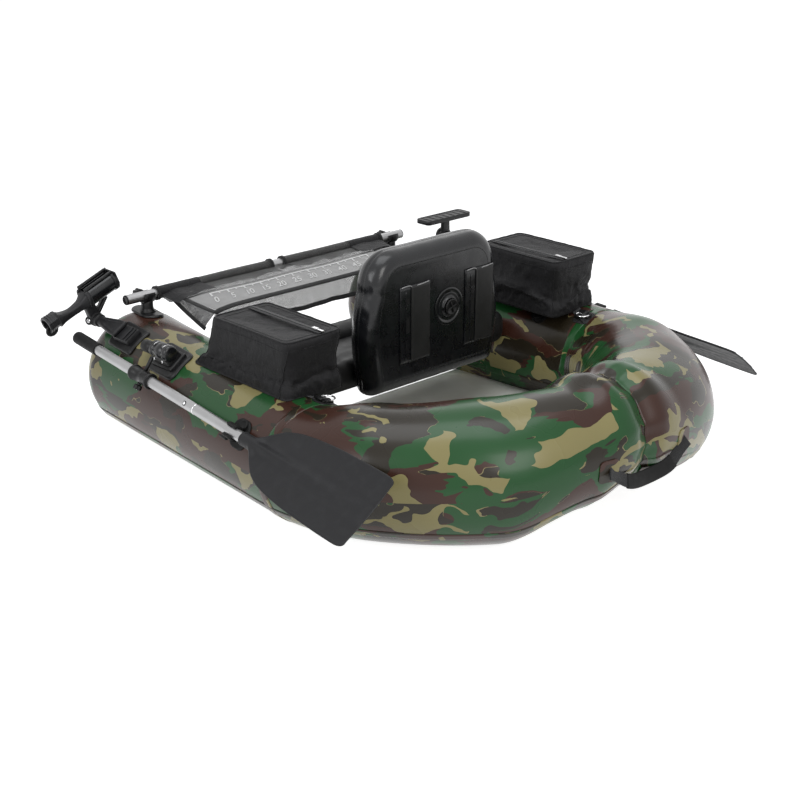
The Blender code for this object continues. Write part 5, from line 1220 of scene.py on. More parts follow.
stripVinyl = vinylFinish("ruler_strip_vinyl", (0.06, 0.06, 0.058), 0.42, 0.05, 800.0, 30.0, 0.0006)
stripVinyl.node_tree.nodes["Principled BSDF"].inputs["Alpha"].default_value = 0.84
span = np.linspace(-apron["halfWidth"], apron["halfWidth"], 150)
xx, tt = np.meshgrid(span, np.linspace(0, 1, 10), indexing="ij")
netPoints = apronPoint(xx, apron["frontY"] + (apron["netRearY"] - apron["frontY"]) * tt)
topNet = cloth("apron_net", netPoints, netSheer, "stretched", ["cross_bar"])
stripX = np.linspace(-apron["stripHalfWidth"], apron["stripHalfWidth"], 150)
rulerStrip = apronSheet("ruler_strip", stripX, apron["stripFrontY"], 0.002, 0.0012, stripVinyl)
insteadOf(topNet, "apron_screen")
on("apron_screen", hangingNet(span, netBand), rulerStrip)
rearLine = apronPoint(span, apronTable("rearY", span))
lowLine = np.stack((span, apronTable("bandY", span) + bandWave(span), apronTable("bandZ", span)), -1)
on("apron_screen", tape("rear_binding", rearLine + (0, -0.002, 0.0006), (0, -0.35, 1), 0.015, 0.0034),
    tape("band_binding", lowLine, (0, -1, 0.2), 0.012, 0.0028))
for k, (start, end) in enumerate(apron["flaps"]):
    # loose edge of each sleeve lying over the strip, and the solid patch at its outer corner
    xs = np.linspace(start, end, 120)
    front = apron["flapFrontY"]
    edge = apron["flapY"] + 0.0035 * np.sin(xs * 60 + k) + 0.002 * np.sin(xs * 170)
    share = np.linspace(0, 1, 8)
    xx, tt = np.meshgrid(xs, share, indexing="ij")
    flap = apronPoint(xx, front + (edge[:, None] - front) * tt, 0.003 + 0.0016 * np.sin(xx * 75) * tt)
    flap[..., 2] -= 0.004 * (1 - tt) ** 2
    on("apron_screen", cloth("sleeve_flap_%d" % k, flap, netDense, "laid", ["apron_net"]))
    innerX = apron["patchInnerX"][k]
    outerX = np.linspace(*((start, innerX) if k == 0 else (innerX, end)), 40)
    rear = apron["patchY"] + 0.004 * np.sin(outerX * 40)
    xx, tt = np.meshgrid(outerX, share, indexing="ij")
    lean = (0.012 if k == 0 else -0.012) * tt
    patch = apronPoint(xx + lean, front + (rear[:, None] - front) * tt, 0.0052 + 0.001 * np.sin(xx * 90 + 4 * tt))
    on("apron_screen", cloth("corner_patch_%d" % k, patch, nylon, "laid", ["apron_net"]))


def between(pair, share):
    # the value that lies at a share of the way from the first to the second
    return pair[0] + (pair[1] - pair[0]) * share


for sideName, side in sides.items():
    # edge strap, and the net gusset that widens aft below it
    t = np.linspace(0, 1, 60)
    high = apronPoint(np.full(60, side * apron["strapX"]), between(apron["strapY"], t), 0.0016)
    low = np.stack((side * (apron["gussetX"] + apron["gussetSpread"] * t), between(apron["gussetY"], t),
            between(apron["gussetZ"], t ** 0.8)), -1)
    tt, ss = np.meshgrid(t, np.linspace(0, 1, 14), indexing="ij")
    free = np.sin(math.pi * ss)
    gusset = high[:, None] + (low - high)[:, None] * ss[..., None]
    gusset[..., 0] += side * (0.006 * free + 0.0022 * np.sin(tt * 40 + 5 * ss) * free) * tt
    gusset[..., 2] += 0.0016 * np.sin(tt * 55 - 4 * ss) * free * tt
    on("apron_screen", cloth("gusset_net_" + sideName, gusset, netDense, "hung", ["ruler_strip"]),
        tape("edge_strap_" + sideName, high, (side * 0.3, 0, 1), 0.012, 0.0026),
        tape("gusset_binding_" + sideName, low, (side, 0, 0.6), 0.01, 0.0026))


def inkLine(name, start, end, width):
    # a printed stroke that follows the cloth
    start, end = np.array(start), np.array(end)
    steps = max(2, int(np.linalg.norm(end - start) / 0.01) + 2)
    along = start + (end - start) * np.linspace(0, 1, steps)[:, None]
    side = width / 2 * np.array((-(end - start)[1], (end - start)[0])) / np.linalg.norm(end - start)
    flat = np.stack((along - side, along + side), 1)
    return grid(name, apronPoint(flat[..., 0], flat[..., 1], 0.0024), whiteInk)


def printedNumber(name, text, x):
    # a number as flat letters laid on the cloth, leaning to port at its foot
    letters = bpy.data.curves.new(name, "FONT")
    letters.body = text
    letters.align_x = "CENTER"
    letters.fill_mode = "FRONT"
    letters.resolution_u = 4
    letters.offset = 0.004
    holder = bpy.data.objects.new(name, letters)
    bpy.context.scene.collection.objects.link(holder)
    bpy.context.view_layer.update()
    mesh = bpy.data.meshes.new_from_object(holder.evaluated_get(bpy.context.evaluated_depsgraph_get()))
    bpy.data.objects.remove(holder)
    corners = np.zeros(len(mesh.vertices) * 3)
    mesh.vertices.foreach_get("co", corners)
    flat = corners.reshape(-1, 3)
    faces = [list(p.vertices) for p in mesh.polygons]
    bpy.data.meshes.remove(mesh)
    up = flat[:, 1] / 0.7 - 0.5
    wide = ruler["digitWidth"] / 0.52
    points = apronPoint(x + flat[:, 0] * wide + up * ruler["digitHeight"] * ruler["digitLean"],
        ruler["digitY"] + up * ruler["digitHeight"], 0.0024)
    return put(name, points, faces, whiteInk, smooth=False)


def makeRuler():
    # a line, a tick every two and a half and a number every five, printed on the strip
    r = ruler
    lastX = r["firstX"] + 20 * r["step"]
    ink = [inkLine("ruler_line", (r["firstX"] - 0.002, r["lineY"]), (lastX + 0.002, r["lineY"]), 0.006)]
    for k in range(21):
        x = r["firstX"] + k * r["step"]
        dx, dy = r["short"] if k % 2 else r["long"]
        width = r["ink"] * (0.75 if k % 2 else 1.1)
        ink.append(inkLine("ruler_tick_%02d" % k, (x, r["lineY"]), (x + dx, r["lineY"] + dy), width))
    for k in range(11):
        ink.append(printedNumber("ruler_number_%02d" % (5 * k), str(5 * k), r["digitFirstX"] + k * r["digitStep"]))
    return join("ruler_print", ink)


on("apron_screen", makeRuler())


def makeSleeve(sideName):
    # net tube round the bar, sewn shut along the underside, so the loop is open there by a hair; a solid cover at
    # its outer end and a bound hoop at each end
    node = "bar_sleeve_" + sideName
    turn = np.linspace(sleeve["slit"] - math.pi / 2, 1.5 * math.pi - sleeve["slit"], 48)

    def loop(x, radius):
        # one row of points round the bar for each x
        along, reach = np.broadcast_arrays(x[:, None], radius * np.ones_like(turn))
        return np.stack((along, sleeve["y"] + reach * np.cos(turn), sleeve["z"] + reach * np.sin(turn)), -1)

    start, end = sleeve["x"][sideName]
    x = np.linspace(start, end, 120)
    radius = sleeve["radius"] * (1 + 0.02 * np.sin(x * 33)[:, None] * np.clip(np.sin(turn), 0, 1))
    insteadOf(cloth("sleeve_net_" + sideName, loop(x, radius), netSheer, "stretched", ["cross_bar"]), node)
    x = np.linspace(*sleeve["coverX"][sideName], 50)
    radius = sleeve["coverRadius"] * (1 + 0.015 * np.sin(x * 140)[:, None] * np.sin(turn * 2))
    on(node, cloth("sleeve_cover_" + sideName, loop(x, radius), nylon, "stretched", ["cross_bar"]))
    for k, at in enumerate((start + 0.002, end - 0.002)):
        hoop = loop(np.array([at]), sleeve["edgeRadius"])[0]
        on(node, carry("sleeve_edge_%s_%d" % (sideName, k), hoop, tapeProfile(0.0022, 0.0065, 4), (1, 0, 0), binding,
                closedPath=True))


for sideName in sides:
    makeSleeve(sideName)
print("apron ready")
fittings = dict(rodBaseY=0.462, rodAngle=57, rodPad=(0.039, 0.053), lockY=0.274, lockAngle=57, lockPad=(0.043, 0.059),
    clipAt=0.357, gearY=0.395, gearAngle=80, gearPad=(0.04, 0.055), barY=0.529, barZ=0.336, clampX=0.414,
    barEnds={"port": 0.474, "starboard": 0.452}, gearPivot=(0.466, 0.368, 0.362), ringY=-0.172, ringAngle=112,
    ringPad=(0.0255, 0.0225))
stem = dict(y=(0.015, 0.045, 0.09, 0.111), wide=(0.0235, 0.0215, 0.0135, 0.0125),
    tall=(0.0055, 0.0078, 0.011, 0.0125), rise=(0.0225, 0.0225, 0.024, 0.025),
    screws=((-0.0155, 0.022), (0.015, 0.022)), screwRise=0.0282)
cradle = dict(tilt=22, rise=0.062, gap=0.0012)
oar = dict(collar=(0.604, 0.277, 0.237), neck=(0.62, -0.149, 0.207), gripStart=-0.297, gripEnd=-0.195,
    bladeTurn={"port": 52, "starboard": 54},
    bladeAt=(0.4, 0.43, 0.462, 0.49, 0.53, 0.58, 0.65, 0.74, 0.8, 0.812),
    bladeHalf=(0.0155, 0.0162, 0.04, 0.06, 0.073, 0.08, 0.085, 0.0872, 0.0835, 0.076),
    bladeRidge=(0.0155, 0.0158, 0.0152, 0.0138, 0.0118, 0.0095, 0.0066, 0.003, 0.0022, 0.002))
# turned outlines of the fittings as (radius, height) in metres, and the table's rim as (share, height)
profiles = dict(
    socketRim=((0.0128, 0.3985), (0.015, 0.3985), (0.0161, 0.3995), (0.0161, 0.4035), (0.015, 0.4045),
        (0.0128, 0.4045), (0.0128, 0.3985)),
    button=((0.0003, 0.0109), (0.0039, 0.0109), (0.0039, 0.0132), (0.003, 0.0145), (0.0003, 0.0148)),
    buttonRim=((0.0043, 0.0118), (0.0058, 0.0117), (0.0058, 0.0125), (0.005, 0.0128), (0.0043, 0.0126),
        (0.0043, 0.0118)),
    collar=((0.0127, -0.036), (0.018, -0.036), (0.019, -0.035), (0.019, -0.031), (0.0182, -0.03),
        (0.0168, -0.0298), (0.0168, -0.01), (0.016, -0.0092), (0.016, 0.0092), (0.0168, 0.01), (0.0168, 0.0298),
        (0.0182, 0.03), (0.019, 0.031), (0.019, 0.035), (0.018, 0.036), (0.0127, 0.036), (0.0127, -0.036)),
    barrel=((0.0004, 0.0), (0.015, 0.0), (0.0185, 0.0016), (0.0205, 0.006), (0.0205, 0.0145), (0.0185, 0.0155),
        (0.0185, 0.0185), (0.0205, 0.0195), (0.0205, 0.048), (0.0185, 0.049), (0.0185, 0.052), (0.02, 0.053),
        (0.0198, 0.063), (0.017, 0.064), (0.0004, 0.064)),
    lockKnob=((0.0004, 0.0), (0.014, 0.0), (0.015, 0.0012), (0.015, 0.011), (0.0138, 0.0118), (0.0138, 0.0142),
        (0.015, 0.015), (0.015, 0.0425), (0.014, 0.0452), (0.012, 0.046), (0.01, 0.0448), (0.0004, 0.0446)),
    clipBoss=((0.0004, -0.003), (0.0125, -0.003), (0.0125, 0.0022), (0.0112, 0.0036), (0.0085, 0.0036),
        (0.0075, 0.0026), (0.0004, 0.0026)),
    barPlug=((0.0004, 0.0022), (0.007, 0.0022), (0.0082, 0.0034), (0.0112, 0.0034), (0.0125, 0.002),
        (0.0125, 0.0002), (0.0106, 0.0002), (0.0106, -0.016), (0.0004, -0.016)),
    stemBand=((0.0004, -0.0125), (0.015, -0.0125), (0.0165, -0.011), (0.0165, -0.008), (0.0155, -0.0072),
        (0.0155, -0.0058), (0.0165, -0.005), (0.0165, -0.0012), (0.015, 0.0), (0.0004, 0.0)),
    hubCap=((0.0004, -0.004), (0.0108, -0.004), (0.0108, 0.0022), (0.0098, 0.0032), (0.0082, 0.0032),
        (0.0076, 0.002), (0.0004, 0.002)),
    gearKnob=((0.0004, 0.0), (0.013, 0.0), (0.014, 0.0012), (0.014, 0.0095), (0.0128, 0.0102), (0.0128, 0.0122),
        (0.014, 0.013), (0.014, 0.0372), (0.013, 0.0396), (0.01, 0.04), (0.009, 0.0388), (0.0004, 0.0386)),
    tableEdge=((0.02, 0.0048), (0.9, 0.0048), (0.93, 0.006), (0.985, 0.006), (1.0, 0.005), (1.0, -0.0046),
        (0.985, -0.006), (0.9, -0.006), (0.88, -0.0035), (0.02, -0.0035)))


def tubePad(name, side, y, degrees, halfX, halfY, corner, thick, material, rim=0.0, count=96):
    # a plate bent over the tube: rounded outlines shrink to the middle, the outermost folds down to the cloth
    radius = tubeAt(y)[1]
    outline = roundedOutline(halfX, halfY, corner, count)
    steps = ((0.02, thick), (0.45, thick), (0.8, thick), (0.86, thick + rim), (0.92, thick + rim),
        (0.965, thick * 0.85), (0.99, thick * 0.5), (1.0, 0.0006), (0.985, 0.0003), (0.02, 0.0003))
    rings = []
    for share, rise in steps:
        flat = outline * share
        angle = math.radians(degrees) - flat[:, 0] / radius
        along = y + flat[:, 1]
        cx, r = tubeAt(along)
        rings.append(np.stack((side * (cx + (r + rise) * np.cos(angle)), along,
                r - chambers["press"] + (r + rise) * np.sin(angle)), -1))
    return grid(name, np.array(rings), material, closedColumns=True, closedRows=True)


def gearProfile(radius, teeth, depth, count=8):
    # an outline with rounded teeth
    turn = fullTurn(teeth * count)
    reach = radius * (1 - depth * (0.5 - 0.5 * np.tanh(2.5 * np.cos(turn * teeth))))
    return np.stack((reach * np.cos(turn), reach * np.sin(turn)), -1)


def starKnob(name, radius, length, teeth, depth, at, material, dish=0.35):
    # a grip with lobes: outlines stacked along Z, rounded at both ends, hollowed a little in front
    outline = gearProfile(radius, teeth, depth)
    steps = [(0.05, 0.0), (0.86, 0.0), (0.96, 0.06), (1.0, 0.16), (1.0, 0.84), (0.96, 0.94), (0.86, 1.0),
        (dish + 0.14, 1.0), (dish, 0.9), (0.05, 0.9)]
    rings = [np.column_stack((outline * share, np.full(len(outline), length * level))) for share, level in steps]
    return grid(name, seat(np.array(rings), at), material, closedColumns=True, caps=True)


def shift(at, x, y, z):
    # the placement moved along its own three axes
    return np.array((at[0], at[1], at[2], seat((x, y, z), at)))


def turned(at, degrees):
    # the placement turned about its own Z axis
    c, s = math.cos(math.radians(degrees)), math.sin(math.radians(degrees))
    return np.array((at[0] * c + at[1] * s, at[1] * c - at[0] * s, at[2], at[3]))


def rod(name, radius, low, high, at, material, edge=0.0006, count=40, bore=0.0):
    # a cylinder along Z with softened rims, hollow when a bore is given
    inner = bore or 0.0004
    profile = [(inner, low), (radius - edge, low), (radius, low + edge), (radius, high - edge), (radius - edge, high),
        (inner, high)]
    return lathe(name, profile + [(bore, low)] if bore else profile, at, material, count)


def screwHead(name, at, radius, material):
    # pan head with a cross: crown (radius, height), then two crossed grooves as dark bars
    head = lathe(name, ((0.0002, 0.0), (radius, 0.0), (radius * 0.98, radius * 0.25), (radius * 0.7, radius * 0.48),
            (0.0002, radius * 0.56)), at, material, 28)
    bars = [roundBox("%s_groove_%d" % (name, k), (radius * 1.3, radius * 0.22, radius * 0.12),
            shift(turned(at, 35 + 90 * k), 0, 0, radius * 0.5), blackPlastic, 0.0001, 1) for k in (0, 1)]
    return join(name, [head] + bars)


def openHoop(outer, inner, half, count=40):
    # the section of an open pipe; half is half its opening in degrees, the opening looks up
    turn = np.radians(np.linspace(90 + half, 450 - half, count))
    ring = np.stack((np.cos(turn), np.sin(turn)), -1)
    return np.concatenate((ring * outer, ring[::-1] * inner))


def oarPlace(side):
    # origin at the collar, Z along the shaft to the blade, X out from the tube
    collar = np.array(oar["collar"]) * (side, 1, 1)
    neck = np.array(oar["neck"]) * (side, 1, 1)
    x, radius = tubeAt(collar[1])
    away = collar - (side * x, collar[1], radius)
    away[1] = 0.0
    return axes(collar, neck - collar, away)


def makeBlade(sideName, side, at):
    # cross sections along the shaft: a round socket that opens to a ribbed plate with rounded corners
    wide = math.radians(oar["bladeTurn"][sideName])
    place = axes(at[3], at[2], (-side * math.sin(wide), 0, math.cos(wide)))
    z = np.concatenate((np.linspace(0.4, 0.56, 44), np.linspace(0.565, 0.792, 34),
            0.792 + 0.02 * np.sin(np.linspace(0.1, math.pi / 2, 12))))
    half = cubicSteps(z, oar["bladeAt"][:8], oar["bladeHalf"][:8])
    corner = np.clip((z - 0.78) / 0.032, 0, 1)
    half = half * (1 - 0.115 * (1 - np.sqrt(np.clip(1 - corner ** 2.6, 0, 1))))
    ridge = cubicSteps(z, oar["bladeAt"], oar["bladeRidge"])
    share = np.sin(np.linspace(-math.pi / 2, math.pi / 2, 41))
    flat = smoothStep((z - 0.434) / 0.03)[:, None]
    lip = 0.002
    across = half[:, None] * share
    tube = ridge[:, None] * np.cos(np.linspace(-math.pi / 2, math.pi / 2, 41))
    bead = 0.0009 * np.exp(-((1 - np.abs(share)) * half[:, None] / 0.004 - 0.8) ** 2)
    plate = lip * np.minimum(1, np.sqrt(np.clip(1 - share ** 40, 0, 1)) + 0.1) + (ridge[:,
            None] - lip).clip(0) * np.exp(-(across / 0.0105) ** 2) + bead
    plate = plate + 0.0012 * np.exp(-((np.abs(across) - 0.03) / 0.005) ** 2) * smoothStep((z[:, None] - 0.5) / 0.08)
    top = tube * (1 - flat) + plate * flat
    cup = 0.004 * flat * (share ** 2) * smoothStep((z[:, None] - 0.48) / 0.2)
    upper = np.stack((across, top + cup, z[:, None] * np.ones_like(across)), -1)
    lower = np.stack((across, -top + cup, z[:, None] * np.ones_like(across)), -1)[:, ::-1][:, 1:-1]
    blade = grid("blade_" + sideName, seat(np.concatenate((upper, lower), 1), place), bladePlastic,
        closedColumns=True, caps=True)
    insteadOf(blade, "oar_blade_" + sideName)
    on("oar_blade_" + sideName, lathe("socket_rim_" + sideName, profiles["socketRim"], at, bladePlastic, 48))


def makeOar(sideName, side):
    # everything lies along the shaft, its heights counted from the collar towards the blade
    at = oarPlace(side)
    across = at[1] * (1 if at[1][2] > 0 else -1)
    # rubber grip: rounded end, fine rings at the mouth
    low, high = oar["gripStart"], oar["gripEnd"]
    grip = [(0.0004, low), (0.006, low + 0.0002), (0.0118, low + 0.0012), (0.0148, low + 0.0044),
        (0.0155, low + 0.009)]
    for z in np.linspace(low + 0.014, high - 0.006, 12):
        grip += [(0.0155, z), (0.0153, z + 0.002)]
    grip += [(0.0155, high - 0.002), (0.015, high - 0.0004), (0.0126, high), (0.0126, -0.29), (0.0004, -0.29)]
    insteadOf(lathe("grip_" + sideName, grip, at, softRubber, 40), "oar_grip_" + sideName)
    node = "oar_upper_shaft_" + sideName
    finish(aluminium, node, "oar_lower_shaft_" + sideName)
    on(node, rod("shaft_ferrule_" + sideName, 0.01285, 0.2172, 0.2218, at, chrome, 0.0008, 56, 0.012))
    out = axes(seat((0, 0, 0.188), at), at[0], at[2])
    button = lathe("button_" + sideName, profiles["button"], out, chrome, 28)
    insteadOf(button, "oar_button_" + sideName)
    on(node, lathe("button_rim_" + sideName, profiles["buttonRim"], out, blackPlastic, 28))
    # collar with two flanges, a waist groove and its screw grip
    node = "oar_collar_" + sideName
    insteadOf(lathe("collar_" + sideName, profiles["collar"], at, blackPlastic, 56), node)
    pin = axes(at[3] + across * 0.015, across, at[2])
    on(node, rod("collar_pin_" + sideName, 0.0045, -0.002, 0.0365, pin, blackPlastic, 0.0008, 28))
    screw = axes(at[3] - across * 0.0172, -across, at[2])
    raised = shift(screw, 0, 0, 0.004)
    star = [starKnob("star_grip_" + sideName, 0.0102, 0.0112, 6, 0.2, raised, blackPlastic, 0.45),
        rod("star_stem_" + sideName, 0.005, -0.001, 0.0045, screw, blackPlastic, 0.0004, 24)]
    insteadOf(join("star_" + sideName, star), "collar_screw_" + sideName)
    on("collar_screw_" + sideName, screwHead("star_screw_" + sideName, shift(screw, 0, 0, 0.0142), 0.0034, chrome))
    makeBlade(sideName, side, at)
    return at


def makeLock(sideName, side):
    # oval pad with a double rim, a block, the barrel along the tube and bright pins
    f = fittings
    node = "oarlock_base_" + sideName
    at = tubePlace(side, f["lockY"], f["lockAngle"])
    hx, hy = f["lockPad"]
    insteadOf(tubePad("lock_pad_" + sideName, side, f["lockY"], f["lockAngle"], hx, hy, 0.02, 0.0048, blackPlastic,
            0.0012), node)
    on(node, roundBox("lock_step_" + sideName, (0.056, 0.08, 0.008), shift(at, 0, -0.001, 0.006), blackPlastic,
            0.0028, 3, 0.95), roundBox("lock_block_" + sideName, (0.044, 0.066, 0.022), shift(at, 0, -0.001, 0.018),
            blackPlastic, 0.0045, 4, 0.92))
    barrel = axes(seat((0, -0.034, 0.031), at), (0, 1, 0), at[2])
    on(node, lathe("lock_barrel_" + sideName, profiles["barrel"], barrel, glossVinyl, 48))
    for k, z in enumerate((0.017, 0.0505)):
        arc = np.linspace(-0.1, 2.0, 30)
        wire = seat(np.column_stack((0.0192 * np.cos(arc), -side * 0.0192 * np.sin(arc), np.full(30, z))), barrel)
        on(node, carry("lock_band_%s_%d" % (sideName, k), wire, ringProfile(0.0009, 8), (0, 1, 0), chrome))
    for k, (x, y) in enumerate(((-0.0215, 0.018), (-0.0215, -0.014))):
        head = axes(seat((x, y, 0.0215), at), seat((-1, 0, 0.55), at) - at[3], (0, 1, 0))
        on(node, screwHead("lock_rivet_%s_%d" % (sideName, k), head, 0.004, chrome))
    knob = axes(seat((0, 0.032, 0.025), at), (0, 1, 0), at[2])
    insteadOf(lathe("lock_cylinder_" + sideName, profiles["lockKnob"], knob, blackPlastic, 48),
        "lock_knob_" + sideName)


def makeClip(sideName, side, at):
    # round pad, a root and the open jaw with a long lower lip
    node = "oar_clip_" + sideName
    spot = seat((0, 0, fittings["clipAt"]), at)
    x, radius = tubeAt(spot[1])
    degrees = math.degrees(math.atan2(spot[2] - radius + chambers["press"], side * spot[0] - x))
    place = tubePlace(side, spot[1], degrees)
    pad = tubePad("clip_pad_" + sideName, side, spot[1], degrees, 0.034, 0.029, 0.022, 0.0034, softRubber, 0.0012)
    insteadOf(pad, node)
    outward = place[2]
    reach = float(np.dot(spot - place[3], outward))
    root = roundBox("clip_root_" + sideName, (0.022, 0.026, reach - 0.01),
        axes(place[3] + outward * (reach - 0.01) / 2, outward, place[0]), softRubber, 0.004, 4, 0.86)
    line = seat(np.column_stack((np.zeros(2), np.zeros(2), fittings["clipAt"] + np.array((-0.015, 0.015)))), at)
    jaw = carry("clip_jaw_" + sideName, np.linspace(line[0], line[1], 5), openHoop(0.0182, 0.0131, 44, 56), at[0],
        softRubber)
    on(node, root, jaw)
    up = at[1] * (1 if at[1][2] > 0 else -1)
    turn = np.linspace(0, 1, 24)[:, None]
    lipPath = spot + at[0] * (0.0125 + 0.0085 * turn) - up * (0.0174 + 0.003 * np.sin(turn * 2.6) - 0.003 * turn)
    on(node, carry("clip_lip_" + sideName, lipPath, tapeProfile(0.024, 0.0042, 6), -up, softRubber))
    boss = tubePlace(side, spot[1] - 0.004, degrees + 9.0, 0.0042)
    on(node, lathe("clip_boss_" + sideName, profiles["clipBoss"], boss, softRubber, 36))


def makeClamp(sideName, side):
    # pad on the tube, round post, open saddle under the bar with its knob, and the plug in the end of the bar
    f = fittings
    node = "bar_clamp_" + sideName
    x, radius = tubeAt(f["barY"])
    degrees = math.degrees(math.acos((f["clampX"] - x) / radius))
    insteadOf(tubePad("clamp_pad_" + sideName, side, f["barY"], degrees, 0.0315, 0.0515, 0.0312, 0.004, blackPlastic,
            0.0008), node)
    foot = tubePlace(side, f["barY"], degrees)[3]
    post = axes((side * f["clampX"], f["barY"], foot[2]), (0, 0, 1), (1, 0, 0))
    high = f["barZ"] - 0.0125 - foot[2]
    on(node, lathe("clamp_post_" + sideName, ((0.0004, 0.0), (0.0205, 0.002), (0.019, 0.0055), (0.016, 0.009),
            (0.015, 0.014), (0.015, high - 0.003), (0.0135, high), (0.0004, high)), post, blackPlastic, 48))
    bar = axes((side * f["clampX"], f["barY"], f["barZ"]), (1, 0, 0), (0, 1, 0))
    line = np.linspace(seat((0, 0, -0.0145), bar), seat((0, 0, 0.0145), bar), 4)
    on(node, carry("clamp_saddle_" + sideName, line, openHoop(0.0185, 0.0127, 62, 48), (0, 0, 1), blackPlastic),
        roundBox("clamp_lug_" + sideName, (0.026, 0.014, 0.019),
            axes((side * f["clampX"], f["barY"] + 0.0205, f["barZ"] - 0.006), (0, 0, 1)), blackPlastic, 0.003))
    knobAt = axes((side * f["clampX"], f["barY"] + 0.0295, f["barZ"] - 0.006), (0, 1, 0), (1, 0, 0))
    knob = join("clamp_grip_" + sideName, [starKnob("clamp_star_" + sideName, 0.0156, 0.016, 8, 0.14, knobAt,
            blackPlastic, 0.5), rod("clamp_shank_" + sideName, 0.004, -0.0085, 0.002, knobAt, chrome, 0.0005, 20)])
    insteadOf(knob, "clamp_knob_" + sideName)
    end = axes((side * f["barEnds"][sideName], f["barY"], f["barZ"]), (side, 0, 0), (0, 1, 0))
    insteadOf(lathe("bar_end_" + sideName, profiles["barPlug"], end, blackPlastic, 48), "bar_plug_" + sideName)


def makeRodHolder():
    # rail plate on the tube, flared stem with a hub, and the cradle that tilts about the hub
    f = fittings
    side = -1
    at = tubePlace(side, f["rodBaseY"], f["rodAngle"])
    node = "rod_holder_base"
    hx, hy = f["rodPad"]
    insteadOf(tubePad("rod_pad", side, f["rodBaseY"], f["rodAngle"], hx, hy, 0.009, 0.0048, blackPlastic, 0.001),
        node)
    on(node, roundBox("rod_rail", (0.046, 0.064, 0.013), shift(at, 0, 0, 0.0095), greyPlastic, 0.0022, 3, 0.94))
    for k, y in enumerate((-0.012, -0.0245)):
        on(node, roundBox("rail_rib_%d" % k, (0.04, 0.0036, 0.004), shift(at, 0, y, 0.0172), greyPlastic, 0.001),
            roundBox("rail_slot_%d" % k, (0.034, 0.0024, 0.0008), shift(at, 0, y - 0.0056, 0.0162), blackPlastic,
                0.0003))
    # wedge-shaped stem: flat where it grips the rail, round at the hub
    node = "rod_holder_stem"
    t = np.linspace(0, 1, 26)
    y = 0.015 + 0.096 * t
    wide, tall, rise = (np.interp(y, stem["y"], stem[key]) for key in ("wide", "tall", "rise"))
    turn = fullTurn(48)
    power = (0.35 + 0.65 * smoothStep(t * 1.1))[:, None]
    c, s = np.cos(turn), np.sin(turn)
    dent = 0.0022 * np.exp(-((np.abs(c) - 0.45) / 0.14) ** 2) * (s > 0) * (smoothStep((t - 0.08) * 6)
        * smoothStep((0.75 - t) * 5))[:, None]
    ring = np.stack((wide[:, None] * np.sign(c) * np.abs(c) ** power, y[:, None] * np.ones(48),
            rise[:, None] + tall[:, None] * np.sign(s) * np.abs(s) ** power - dent), -1)
    insteadOf(grid("rod_stem", seat(ring, at), greyPlastic, closedColumns=True, caps=True), node)
    for k, (x, yy) in enumerate(stem["screws"]):
        on(node, screwHead("stem_screw_%d" % k, shift(at, x, yy, stem["screwRise"]), 0.003, blackPlastic))
    hub = seat((0, 0.111, 0.025), at)
    hubAt = axes(hub, (0, 1, 0), at[2])
    on(node, lathe("stem_band", profiles["stemBand"], hubAt, blackPlastic, 48),
        rod("stem_pin", 0.0049, -0.002, 0.0285, hubAt, chrome, 0.0008, 24))
    # cradle: hub, yoke, strut with its window, neck, ribbed butt with a hook ring, open trough
    node = "rod_holder_cradle"
    tilt, rise, gap = math.radians(cradle["tilt"]), cradle["rise"], cradle["gap"]
    run = np.array((math.cos(tilt), 0, math.sin(tilt)))
    up = np.array((-math.sin(tilt), 0, math.cos(tilt)))
    mid = hub + np.array((0, gap + 0.012, 0))
    core = mid + up * rise
    hubRings = [(0.0052, gap), (0.016, gap), (0.0175, gap + 0.0016), (0.0175, gap + 0.0224), (0.016, gap + 0.024),
        (0.0052, gap + 0.024), (0.0052, gap)]
    insteadOf(lathe("cradle_hub", hubRings, hubAt, blackPlastic, 48), node)
    for k, z in enumerate((0.0045, 0.0125, 0.0205)):
        outline = gearProfile(0.0186, 22, 0.07, 6)
        steps = ((0.9, -0.0022), (0.985, -0.0022), (1, -0.0014), (1, 0.0014), (0.985, 0.0022), (0.9, 0.0022))
        rings = [np.column_stack((outline * r, np.full(len(outline), gap + z + d))) for r, d in steps]
        on(node, grid("hub_knurl_%d" % k, seat(np.array(rings), hubAt), blackPlastic, closedColumns=True, caps=True))
    sideAt = axes(mid - (0.0172, 0, 0.002), (-1, -0.35, 0.1), (0, 0, 1))
    on(node, lathe("hub_cap", profiles["hubCap"], sideAt, blackPlastic, 40),
        screwHead("hub_screw", shift(sideAt, 0, 0, 0.002), 0.0056, chrome))

    def loft(name, stations, material, count=40, power=0.55):
        # sections (along run, centre above core, half width, half height) joined lengthwise
        stations = np.array(stations)
        fine = np.linspace(stations[0, 0], stations[-1, 0], 40)
        values = [cubicSteps(fine, stations[:, 0], stations[:, k]) for k in (1, 2, 3)]
        turn = fullTurn(count)
        a = np.sign(np.cos(turn)) * np.abs(np.cos(turn)) ** power
        b = np.sign(np.sin(turn)) * np.abs(np.sin(turn)) ** power
        points = (core + fine[:, None, None] * run + (values[0][:, None, None] + values[2][:, None, None] * b[None, :,
                None]) * up + values[1][:, None, None] * a[None, :, None] * (0, 1, 0))
        return grid(name, points, material, closedColumns=True, caps=True)

    on(node, loft("cradle_neck", ((-0.092, -0.001, 0.0205, 0.02), (-0.074, -0.006, 0.015, 0.013),
            (-0.05, -0.009, 0.0118, 0.0105), (-0.024, -0.008, 0.0138, 0.012), (0.002, -0.003, 0.0235, 0.022)),
            greyPlastic), roundBox("cradle_yoke", (0.03, 0.02, 0.058), axes(mid + up * 0.027, up, run), greyPlastic,
            0.0035, 3, 0.86))
